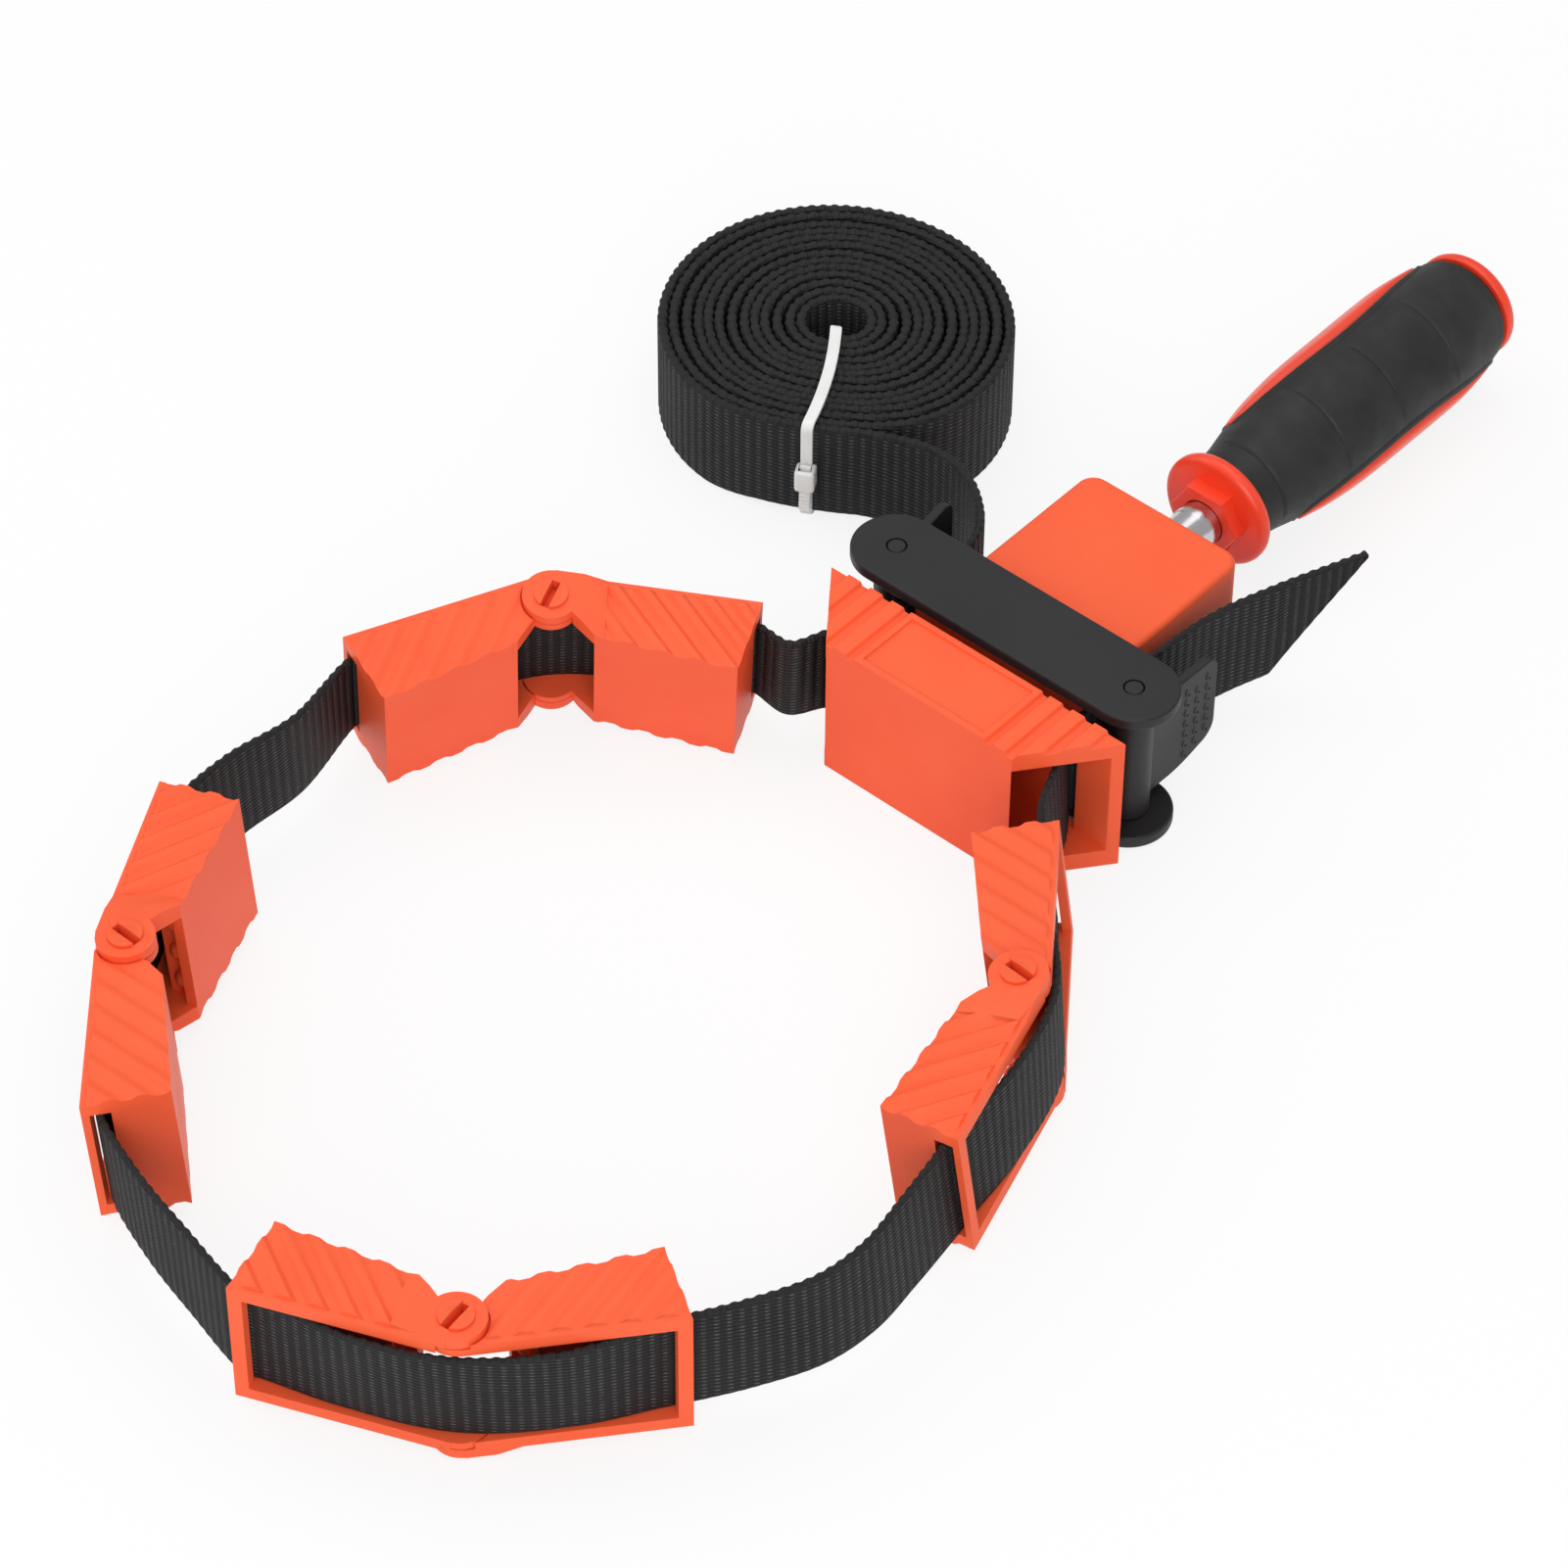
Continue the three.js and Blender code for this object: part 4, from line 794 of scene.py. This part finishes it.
def strapChain(name, node, start, end, bodies, shares):
    # one node's strap, split into stages; each stage is given two neighbouring bodies, which are not used
    at = start
    for index in range(len(shares)):
        upTo = start + (end - start) * sum(shares[:index + 1]) / sum(shares)
        strapPiece(name + "ABCD"[index], node, at, upTo, bodies[index], bodies[index + 1])
        at = upTo


mark = 1
marks = {}
for node, count in (("strap_block_left", 5), ("strap_in_jaw_1", 6), ("strap_span_1", 3), ("strap_in_jaw_2", 6),
                    ("strap_span_2", 3), ("strap_in_jaw_3", 6), ("strap_span_3", 5), ("strap_in_jaw_4", 6),
                    ("strap_block_right", 5)):
    marks[node] = (ring.mark(mark), ring.mark(mark + count))
    mark += count

for name, node, bodies, shares in (
        ("strapBlockLeft", "strap_block_left", ["carriage", "block", "jaw_1"], (0.52, 0.48)),
        ("strapSpanOne", "strap_span_1", ["jaw_1_fold", "jaw_1", "block", "jaw_2"], (0.36, 0.32, 0.32)),
        ("strapSpanTwo", "strap_span_2", ["jaw_2_fold", "jaw_2", "block", "jaw_3"], (0.36, 0.32, 0.32)),
        ("strapSpanThree", "strap_span_3", ["jaw_3_fold", "jaw_3", "block", "jaw_4", "jaw_4_fold"],
         (0.26, 0.24, 0.24, 0.26)),
        ("strapBlockRight", "strap_block_right", ["jaw_4", "block", "carriage"], (0.48, 0.52))):
    strapChain(name, node, *marks[node], bodies, shares)
for entry, pair in zip(jaws, (("jaw_1", "jaw_1_fold"), ("jaw_2", "jaw_2_fold"), ("jaw_3", "jaw_3_fold"),
                              ("jaw_4_fold", "jaw_4"))):
    node = "strap_in_" + entry["name"]
    start, end = marks[node]
    pin = (start + end) / 2
    strapPiece("strapIn" + entry["name"].replace("_", "").capitalize(), node, start, end, *pair,
               (pin - route["pinTurn"], pin + route["pinTurn"]))

tail = {"points": [(24, 0), (24, 9), (24.4, 19), (26, 33), (30.6, 48), (38.5, 67.8)], "cutLength": 22, "tip": 0.8}
tailLine = Line([spot for spot, up in standing([tailPoint] + tail["points"])])
tailLength = tailLine.reach[-1]


def tailLevels(along, low, high):
    rise = max(0, along - (tailLength - tail["cutLength"])) / tail["cutLength"]
    return low + (high - low - tail["tip"]) * rise, high


finishPiece(ribbon(flatStations(tailLine, 0, tailLength, marks["strap_block_right"][1], tailLevels)), "strapTail",
            "webbing", "carriage", ["strap_tail"], 50, even=False)
print("ring strap made")

# The spare strap: its lead from the carriage and the coil

coil = {"centre": (-94.4, 55.3), "radius": 39, "roundness": 0.972, "pitch": 2.5, "turns": 13, "start": -53,
        "pinch": 3.6, "pinchSpread": 32, "lift": 1.25, "liftReach": 11, "wander": 0.3, "wanderTurn": 1.45,
        "wanderStart": 0.6, "rise": 0.6, "squeeze": 0.9, "step": 3.75, "leadSteps": 120, "swellFrom": 25,
        "swellOver": 40}
lead = [(-24, 0), (-24.1, 10), (-27, 21.5), (-33.6, 29.2), (-42.4, 35), (-52.6, 37), (-62.4, 34.2)]
tie = {"angle": -60, "width": 2.5, "thickness": 1.05, "inner": 3.0, "outer": 36.1, "corner": 1.7,
       "headLow": 9.5, "headHigh": 15.1, "headHalf": 2.2, "headReach": (-0.9, 3.1), "headEdge": 0.75,
       "slotHalf": 1.35, "slotReach": (0.4, 2.2), "low": 0.55, "top": 26.05, "bow": 1.3, "tailSteps": 26,
       "tailLength": 11.6, "tailOut": 1.3, "tailFlare": 0.9, "toothDepth": 0.45}


def coilSpot(turnedBy):
    # a place on the winding, so many degrees in from its outer end, drawn in a little by the tie
    degrees = coil["start"] - turnedBy
    turn = turnedBy / 360
    radius = coil["radius"] - coil["pitch"] * turn
    near = abs((degrees - tie["angle"] + 180) % 360 - 180)
    pinch = coil["pinch"] * math.exp(-((near / coil["pinchSpread"]) ** 2)) * radius / coil["radius"]
    wander = coil["wander"] * math.sin(turn * coil["wanderTurn"] + coil["wanderStart"]) * min(1, turn)
    way = planWay(degrees)
    return Vector((coil["centre"][0] + way.x * (radius + wander - pinch),
                   coil["centre"][1] + way.y * ((radius + wander) * coil["roundness"] - pinch)))


def nearTie(spot):
    # 1 beside the cable tie, 0 away from it
    way = planWay(tie["angle"])
    dx, dy = spot.x - coil["centre"][0], spot.y - coil["centre"][1]
    beside = abs(dx * way.y - dy * way.x)
    if dx * way.x + dy * way.y <= 0:
        return 0
    return clamped((2 * coil["liftReach"] - beside) / coil["liftReach"])


def rollStations():
    # the lead comes down from the carriage, and the coil's turns rise and fall a little
    step, leadSteps = coil["step"], coil["leadSteps"]
    leadLine = Line([leadPoint] + lead + [coilSpot(0), coilSpot(15)])
    leadEnd = leadLine.mark(len(lead) + 1)
    line = Line.__new__(Line)
    line.spots, lows = [], []
    for i in range(leadSteps):
        ease = clamped(((1 - i / leadSteps) - 0.1) / 0.7)
        line.spots.append(leadLine.at(leadEnd * i / leadSteps))
        lows.append((strap["midHeight"] - strap["width"] / 2) * ease * ease * (3 - 2 * ease))
    for i in range(round(coil["turns"] * 360 / step) + 1):
        turn = i * step / 360
        drift = 0.5 + 0.5 * noise.noise(Vector((turn * 1.1, math.sin(turn * 2 * math.pi) * 0.5, 3.7)))
        line.spots.append(coilSpot(i * step).to_3d())
        lows.append(coil["rise"] * drift * min(1, turn * 2))
    line.measure()
    total = line.reach[-1]
    count = round(total / strap["spacing"])
    stations = []
    for k in range(count + 1):
        along = total * k / count
        i, share = line.place(along)
        spot = line.at(along)
        near = nearTie(spot)
        rise = (lows[i] + (lows[i + 1] - lows[i]) * share) * (1 - near)
        low = rise + coil["lift"] * near
        swell = clamped((along - coil["swellFrom"]) / coil["swellOver"])
        stations.append({"spot": spot, "way": line.way(along), "up": Vector((0, 0, 1)), "low": low,
                         "high": low + strap["width"] - coil["squeeze"] * near,
                         "thickness": strap["thickness"] + (strap["coilThickness"] - strap["thickness"]) * swell,
                         "along": marks["strap_block_left"][0] - along})
    return stations


finishPiece(ribbon(rollStations()), "strapRoll", "webbing", "carriage", ["strap_roll"], 50, even=False)
print("coil made")


# Cable tie

def tieBand(points, width, thickness, toothFrom=None):
    # a rounded band swept through points of the tie's own upright plane: X outward, Y across, Z up
    count = len(points) - 1
    loop = [(1, 0.7), (0.75, 1), (-0.75, 1), (-1, 0.7), (-1, -0.7), (-0.75, -1), (0.75, -1), (1, -0.7)]
    bm = bmesh.new()
    bmesh.ops.create_grid(bm, x_segments=count, y_segments=len(loop), size=0.5)
    for vert in bm.verts:
        row = round((vert.co.x + 0.5) * count)
        flat, across = loop[round((vert.co.y + 0.5) * len(loop)) % len(loop)]
        here, before, after = (Vector(points[i]) for i in (row, max(row - 1, 0), min(row + 1, count)))
        way = (after - before).normalized()
        out = Vector((-way.z, 0, way.x))
        thick = thickness
        if toothFrom is not None and row > toothFrom and row % 2 and flat > 0:
            thick *= tie["toothDepth"]
        vert.co = here + out * flat * thick / 2 + Vector((0, across * width / 2, 0))
    return closeTube(bm)


def cableTie():
    # a loop round the coil that starts and ends in its head, then its toothed tail through the head
    inner, outer, corner = tie["inner"], tie["outer"], tie["corner"]
    low, top, headLow, headHigh = tie["low"], tie["top"], tie["headLow"], tie["headHigh"]
    path = [(outer, 0, headLow + 2), (outer, 0, top - corner)]

    def bend(x, z, start):
        return [(x + corner * math.cos(math.radians(a)), 0, z + corner * math.sin(math.radians(a)))
                for a in range(start, start + 91, 15)]

    flat = [inner + corner + (outer - inner - 2 * corner) * i / 12 for i in range(1, 12)]
    path += bend(outer - corner, top - corner, 0) + [(x, 0, top) for x in reversed(flat)]
    path += bend(inner + corner, top - corner, 90) + bend(inner + corner, low + corner, 180)
    path += [(x, 0, low) for x in flat] + bend(outer - corner, low + corner, 270)
    path.append((outer, 0, headLow + 1))
    bm = tieBand(path, tie["width"], tie["thickness"])

    def headBox(reach, half, past=0):
        return block((outer + reach[0], -half, headLow - past), (outer + reach[1], half, headHigh + past))

    head = headBox(tie["headReach"], tie["headHalf"])
    softenEdges(head, tie["headEdge"], 4, 50)
    head = carved(head, [headBox(tie["slotReach"], tie["slotHalf"], 1)])
    softenEdges(head, 0.12, 1, 60)
    mergeInto(bm, head)
    steps = tie["tailSteps"]
    tailPath = [(outer + tie["tailOut"] + tie["tailFlare"] * (i / steps) ** 2, 0,
                 headHigh + 0.6 - tie["tailLength"] * i / steps) for i in range(steps + 1)]
    mergeInto(bm, tieBand(tailPath, tie["width"] * 0.96, tie["thickness"] * 0.9, 8))
    for vert in bm.verts:
        share = clamped((vert.co.x - inner) / (outer - inner))
        vert.co.y += tie["bow"] * 4 * share * (1 - share)
    place = Matrix.Translation((*coil["centre"], 0)) @ Matrix.Rotation(math.radians(tie["angle"]), 4, "Z")
    finishPiece(bm, "cableTie", "nylon", "carriage", ["cable_tie"], 45, place)


cableTie()
print("cable tie made")

# Spindle and handle

grip = {"stations": [(70.3, 10.6), (76, 10.8), (82, 12), (86, 12.8), (92, 13.8), (103, 14.7), (121, 14.9), (131, 14.9),
                     (138, 14.7), (147, 13.6), (150.4, 12.9), (153.6, 12.3)],
        "windowStart": 84, "windowEnd": 149, "windowHalfWidth": 6.8, "windowAngles": (-35, 145), "windowEase": 0.8,
        "proud": 0.35, "windowEdge": 0.45, "windowTip": 0.01, "windowCrown": 1.7, "windowDepth": 2.5, "windowRows": 90,
        "windowColumns": 12, "lines": (77, 95.3, 113.7, 132.4), "lineDepth": 0.3, "lap": 0.22, "lapReach": 18,
        "rowStep": 0.6, "endRound": 1.2, "endDrop": 0.9, "innerColumns": 26,
        # distance from a window's edge and rise, over the rolled lip beside it
        "lip": [(0.0, -2.2), (0.0, -0.35), (0.35, 0.12), (1.0, 0.34), (1.7, 0.1), (2.1, -0.16), (2.5, 0)]}


def gripRadius(station):
    # a smooth curve through the grip's stations
    pairs = grip["stations"]
    if station <= pairs[0][0]:
        return pairs[0][1]
    for i, ((s0, r0), (s1, r1)) in enumerate(zip(pairs, pairs[1:])):
        if station <= s1:
            before = pairs[max(i - 1, 0)]
            after = pairs[min(i + 2, len(pairs) - 1)]
            m0 = (r1 - before[1]) / (s1 - before[0])
            m1 = (after[1] - r0) / (after[0] - s0)
            t = (station - s0) / (s1 - s0)
            span = s1 - s0
            return ((2 * t ** 3 - 3 * t ** 2 + 1) * r0 + (t ** 3 - 2 * t ** 2 + t) * m0 * span
                    + (3 * t ** 2 - 2 * t ** 3) * r1 + (t ** 3 - t ** 2) * m1 * span)
    return pairs[-1][1]


def windowShare(station, ease):
    # half width of a window at a station, as an angle about the axis
    middleStation = (grip["windowStart"] + grip["windowEnd"]) / 2
    reach = (grip["windowEnd"] - grip["windowStart"]) / 2 + ease
    inside = 1 - ((station - middleStation) / reach) ** 2
    if inside <= 0:
        return 0
    return math.asin(min(0.95, (grip["windowHalfWidth"] + ease) * math.sqrt(inside) / gripRadius(station)))


def gripRows():
    # stations along the grip, closer together at the windows' ends and at the crosswise lines
    ends = (grip["windowStart"] - grip["windowEase"], grip["windowEnd"] + grip["windowEase"])
    stations = {round(grip["stations"][0][0] + i * grip["rowStep"], 3) for i in range(140)}
    for end, sense in ((ends[0], 1), (ends[1], -1)):
        stations |= {round(end + sense * d, 3) for d in (0, 0.03, 0.12, 0.28, 0.5, 0.8, 1.2)}
    for line in grip["lines"]:
        stations = {s for s in stations if abs(s - line) > 0.45}
        stations |= {line - 0.4, line - 0.14, line, line + 0.14, line + 0.4}
    return sorted(s for s in stations if s <= grip["stations"][-1][0])


def gripPanel(centre):
    # one rubber panel between the two windows: rows along the handle, columns round it, rolled lips beside the windows
    rows, lips, lines = gripRows(), grip["lip"], grip["lines"]
    columns = len(lips) * 2 + grip["innerColumns"] - 1
    bm = bmesh.new()
    bmesh.ops.create_grid(bm, x_segments=len(rows) - 1, y_segments=columns, size=0.5)
    for vert in bm.verts:
        station = rows[round((vert.co.x + 0.5) * (len(rows) - 1))]
        column = round((vert.co.y + 0.5) * columns)
        radius = gripRadius(station)
        window = windowShare(station, grip["windowEase"])
        half = math.pi / 2 - window
        fromEdge = min(column, columns - column)
        if fromEdge < len(lips):
            away, rise = lips[fromEdge]
            angle = half - away / radius
            radius += rise * min(1, window * radius / 2.0)
        else:
            share = (column - len(lips) + 1) / grip["innerColumns"]
            reachAngle = half - lips[-1][0] / radius
            angle = reachAngle * (1 - 2 * share)
            inPanel = clamped((reachAngle * 0.9 - abs(angle)) / 0.12)
            for line in lines:
                if abs(station - line) < 0.2:
                    radius -= grip["lineDepth"] * inPanel * (1 if abs(station - line) < 0.05 else 0.75)
            past = [station - line for line in lines if 0 <= station - line < grip["lapReach"]]
            lap = max([0.0] + [1 - distance / grip["lapReach"] for distance in past])
            radius += grip["lap"] * lap * inPanel
        if column > columns / 2 and fromEdge < len(lips):
            angle = -angle
        turn = math.radians(centre) + angle
        ends = min(station - rows[0], rows[-1] - station)
        radius -= grip["endDrop"] * max(0, 1 - ends / grip["endRound"]) ** 2
        vert.co = (radius * math.cos(turn), station, radius * math.sin(turn))
    return bm


def gripSleeve():
    between = sum(grip["windowAngles"]) / 2
    bm = gripPanel(between)
    mergeInto(bm, gripPanel(between + 180))
    bmesh.ops.remove_doubles(bm, verts=bm.verts, dist=0.02)
    bmesh.ops.recalc_face_normals(bm, faces=bm.faces)
    bmesh.ops.translate(bm, vec=(0, 0, handle["axisHeight"]), verts=bm.verts)
    # end walls: one ring turned in at each end
    for end, sense in ((grip["stations"][0][0], 1), (grip["stations"][-1][0], -1)):
        radius = gripRadius(end)
        wall = turnedShape([(end, radius - 1.1), (end + sense * 0.02, radius - 4), (end + sense * 1.2, radius - 4),
                            (end + sense * 1.2, radius - 0.6), (end, radius - 1.1)], 96)
        mergeInto(bm, wall)
    finishPiece(bm, "handleGrip", "rubber", "handle", ["handle_grip"], 50)


def handleCollar():
    # the hexagon and the flange, bored for the spindle
    front = handle["hexFront"]
    flange = front + handle["hexLength"]
    back = flange + handle["flangeThickness"]
    big = handle["flangeRadius"]
    bore, collarBore = handle["hexBore"], handle["collarBore"]
    corner = handle["hexFlats"] / 2 / math.cos(math.pi / 6)
    length = handle["hexLength"] + 1.5
    hexBody = bmesh.new()
    bmesh.ops.create_cone(hexBody, cap_ends=True, segments=6, radius1=corner, radius2=corner, depth=length)
    hexBody.transform(Matrix.Translation((0, front + length / 2, handle["axisHeight"]))
                      @ Matrix.Rotation(-math.pi / 2, 4, "X") @ Matrix.Rotation(math.radians(30), 4, "Z"))
    softenEdges(hexBody, handle["hexEdge"], 3, 40)
    hexBody = carved(hexBody, [turnedShape([(front - 2, 0), (front - 2, bore), (front + 8, bore), (front + 8, 0)], 72)])
    profile = [(flange - 0.6, collarBore), (flange - 0.6, 7.2), (flange, 8.2), (flange, big - 1.7),
               (flange + 0.25, big - 0.75), (flange + 0.9, big - 0.15), (flange + 1.5, big),
               (flange + 1.72, big - 0.02), (flange + 1.8, big - 0.12), (flange + 1.9, big - 0.02),
               (back - 1.1, big - 0.05), (back - 0.5, big - 0.35), (back - 0.1, big - 1), (back, big - 1.8),
               (back, 9), (back + 1.5, 8.6), (back + 1.5, collarBore), (flange - 0.6, collarBore)]
    mergeInto(hexBody, turnedShape(profile, 128))
    finishPiece(hexBody, "handleCollar", "orangeDeep", "handle", ["handle_core"], 35)


def handleWindow(name, centre):
    # the core's orange face in one window, crowned and falling away at its rim, with tips that keep some width
    first, last = grip["windowStart"] - 0.5, grip["windowEnd"] + 0.5
    bm = bmesh.new()
    bmesh.ops.create_grid(bm, x_segments=grip["windowRows"], y_segments=grip["windowColumns"], size=0.5)
    for vert in bm.verts:
        station = (first + last) / 2 - (last - first) / 2 * math.cos(math.pi * (vert.co.x + 0.5))
        across = vert.co.y * 2
        half = max(windowShare(station, grip["windowEdge"]), grip["windowTip"])
        radius = gripRadius(station) + grip["proud"] - grip["windowCrown"] * abs(across) ** 10
        if half < 0.03:
            radius -= 1.2
        turn = math.radians(centre) + half * across
        vert.co = (radius * math.cos(turn), station, handle["axisHeight"] + radius * math.sin(turn))
    inwards = bmesh.ops.extrude_face_region(bm, geom=bm.faces[:], use_keep_orig=True)
    for vert in newVerts(inwards):
        spoke = vert.co - Vector((0, vert.co.y, handle["axisHeight"]))
        vert.co -= spoke.normalized() * grip["windowDepth"]
    bmesh.ops.remove_doubles(bm, verts=bm.verts, dist=0.01)
    bmesh.ops.recalc_face_normals(bm, faces=bm.faces)
    finishPiece(bm, name, "orangeDeep", "handle", ["handle_core"], 50)


# stations and radii about the handle's axis
capProfile = [(150, 0), (150, 6), (153.4, 6), (153.9, 11.9), (154.2, 12.3), (155, 12.4), (155.8, 12.3), (156.4, 12),
              (156.9, 11.55), (157.3, 10.9), (157.55, 10.1), (157.75, 8), (157.8, 0)]
shaft = handle["spindleRadius"]
spindleProfile = [(-21.1, 0), (-21.1, 4.0), (-20.3, 4.8), (-14.9, 4.8), (-14.9, 3), (-12.1, 3), (-12.1, 4.4),
                  (-11.5, shaft), (52.5, shaft), (52.8, shaft - 0.35), (53.6, shaft - 0.35), (53.9, shaft),
                  (58.6, shaft), (58.9, shaft + 0.25), (61.2, shaft + 0.25), (61.5, shaft), (95, shaft), (95.8, 4.4),
                  (96, 0)]

gripSleeve()
handleCollar()
for letter, angle in zip("AB", grip["windowAngles"]):
    handleWindow("handleWindow" + letter, angle)
finishPiece(turnedShape(capProfile, 96), "handleEndCap", "orangeDeep", "handle", ["handle_end_cap"], 50)
finishPiece(turnedShape(spindleProfile, 96), "spindle", "steel", "handle", ["spindle"], 40)
print("handle made")

# Camera, floor and light

view = {"place": (548.587, -705.496, 898.407), "heading": (-0.653924, 0.756560), "pitch": 45.5863, "roll": 0.4393,
        "lens": 140.667, "sensor": 36}
cameraData = bpy.data.cameras.new("camera")
cameraData.lens = view["lens"]
cameraData.sensor_width = view["sensor"]
cameraData.clip_end = 20
camera = newObject("camera", cameraData)
pitch, roll = math.radians(view["pitch"]), math.radians(view["roll"])
forward = Vector((view["heading"][0] * math.cos(pitch), view["heading"][1] * math.cos(pitch), -math.sin(pitch)))
levelRight = Vector((view["heading"][1], -view["heading"][0], 0))
levelUp = levelRight.cross(forward)
right = levelRight * math.cos(roll) + levelUp * math.sin(roll)
up = levelUp * math.cos(roll) - levelRight * math.sin(roll)
camera.matrix_world = Matrix.Translation(rowPoint(*view["place"])) @ Matrix((right, up, -forward)).transposed().to_4x4()
bpy.context.scene.camera = camera

stage = {"size": 6, "color": (0.93, 0.93, 0.93), "glow": 0.84, "drop": 0.0002}
floorShape = bmesh.new()
bmesh.ops.create_grid(floorShape, x_segments=1, y_segments=1, size=stage["size"] / 2)
floorMesh = meshFrom(floorShape, "floor")
floor = newObject("floor", floorMesh)
floor.location.z = -stage["drop"]
floorLook, floorTree, floorShader = newLook("paleFloor", stage["color"], 0.9)
# seen directly or in gloss, most of the floor's white is its own and the rest takes the shadow
rays = floorTree.nodes.new("ShaderNodeLightPath")
seen = mathNode(floorTree, "MAXIMUM", rays.outputs["Is Camera Ray"], rays.outputs["Is Glossy Ray"])
glow = floorTree.nodes.new("ShaderNodeEmission")
glow.inputs["Color"].default_value = (1, 1, 1, 1)
mix = floorTree.nodes.new("ShaderNodeMixShader")
floorTree.links.new(mathNode(floorTree, "MULTIPLY", seen, stage["glow"]), mix.inputs["Fac"])
floorTree.links.new(floorShader.outputs["BSDF"], mix.inputs[1])
floorTree.links.new(glow.outputs["Emission"], mix.inputs[2])
floorTree.links.new(mix.outputs["Shader"], floorTree.nodes["Material Output"].inputs["Surface"])
floorMesh.materials.append(floorLook)


def areaLight(name, place, aim, size, power):
    data = bpy.data.lights.new(name, "AREA")
    data.size = size
    data.energy = power
    lamp = newObject(name, data)
    lamp.location = place
    lamp.rotation_euler = (Vector(aim) - Vector(place)).to_track_quat("-Z", "Y").to_euler()


areaLight("topSoftbox", (-0.2, 0.25, 1.5), (0, 0, 0), 1.6, 9)
areaLight("frontFill", (0.9, -1.1, 0.9), (0, -0.05, 0), 1.2, 12)
areaLight("leftFill", (-1.3, -0.5, 0.9), (0, -0.05, 0), 1.0, 4)

world = bpy.data.worlds.new("studio")
bpy.context.scene.world = world
world.use_nodes = True
tree = world.node_tree
background = tree.nodes["Background"]
rays = tree.nodes.new("ShaderNodeLightPath")
seen = mathNode(tree, "MAXIMUM", rays.outputs["Is Camera Ray"], rays.outputs["Is Transmission Ray"])
background.inputs["Color"].default_value = (1, 1, 1, 1)
tree.links.new(ranged(tree, seen, 0.5, 1.0, 0, 1), background.inputs["Strength"])
bpy.context.scene.view_settings.view_transform = "Standard"
print("camera, floor and light made")
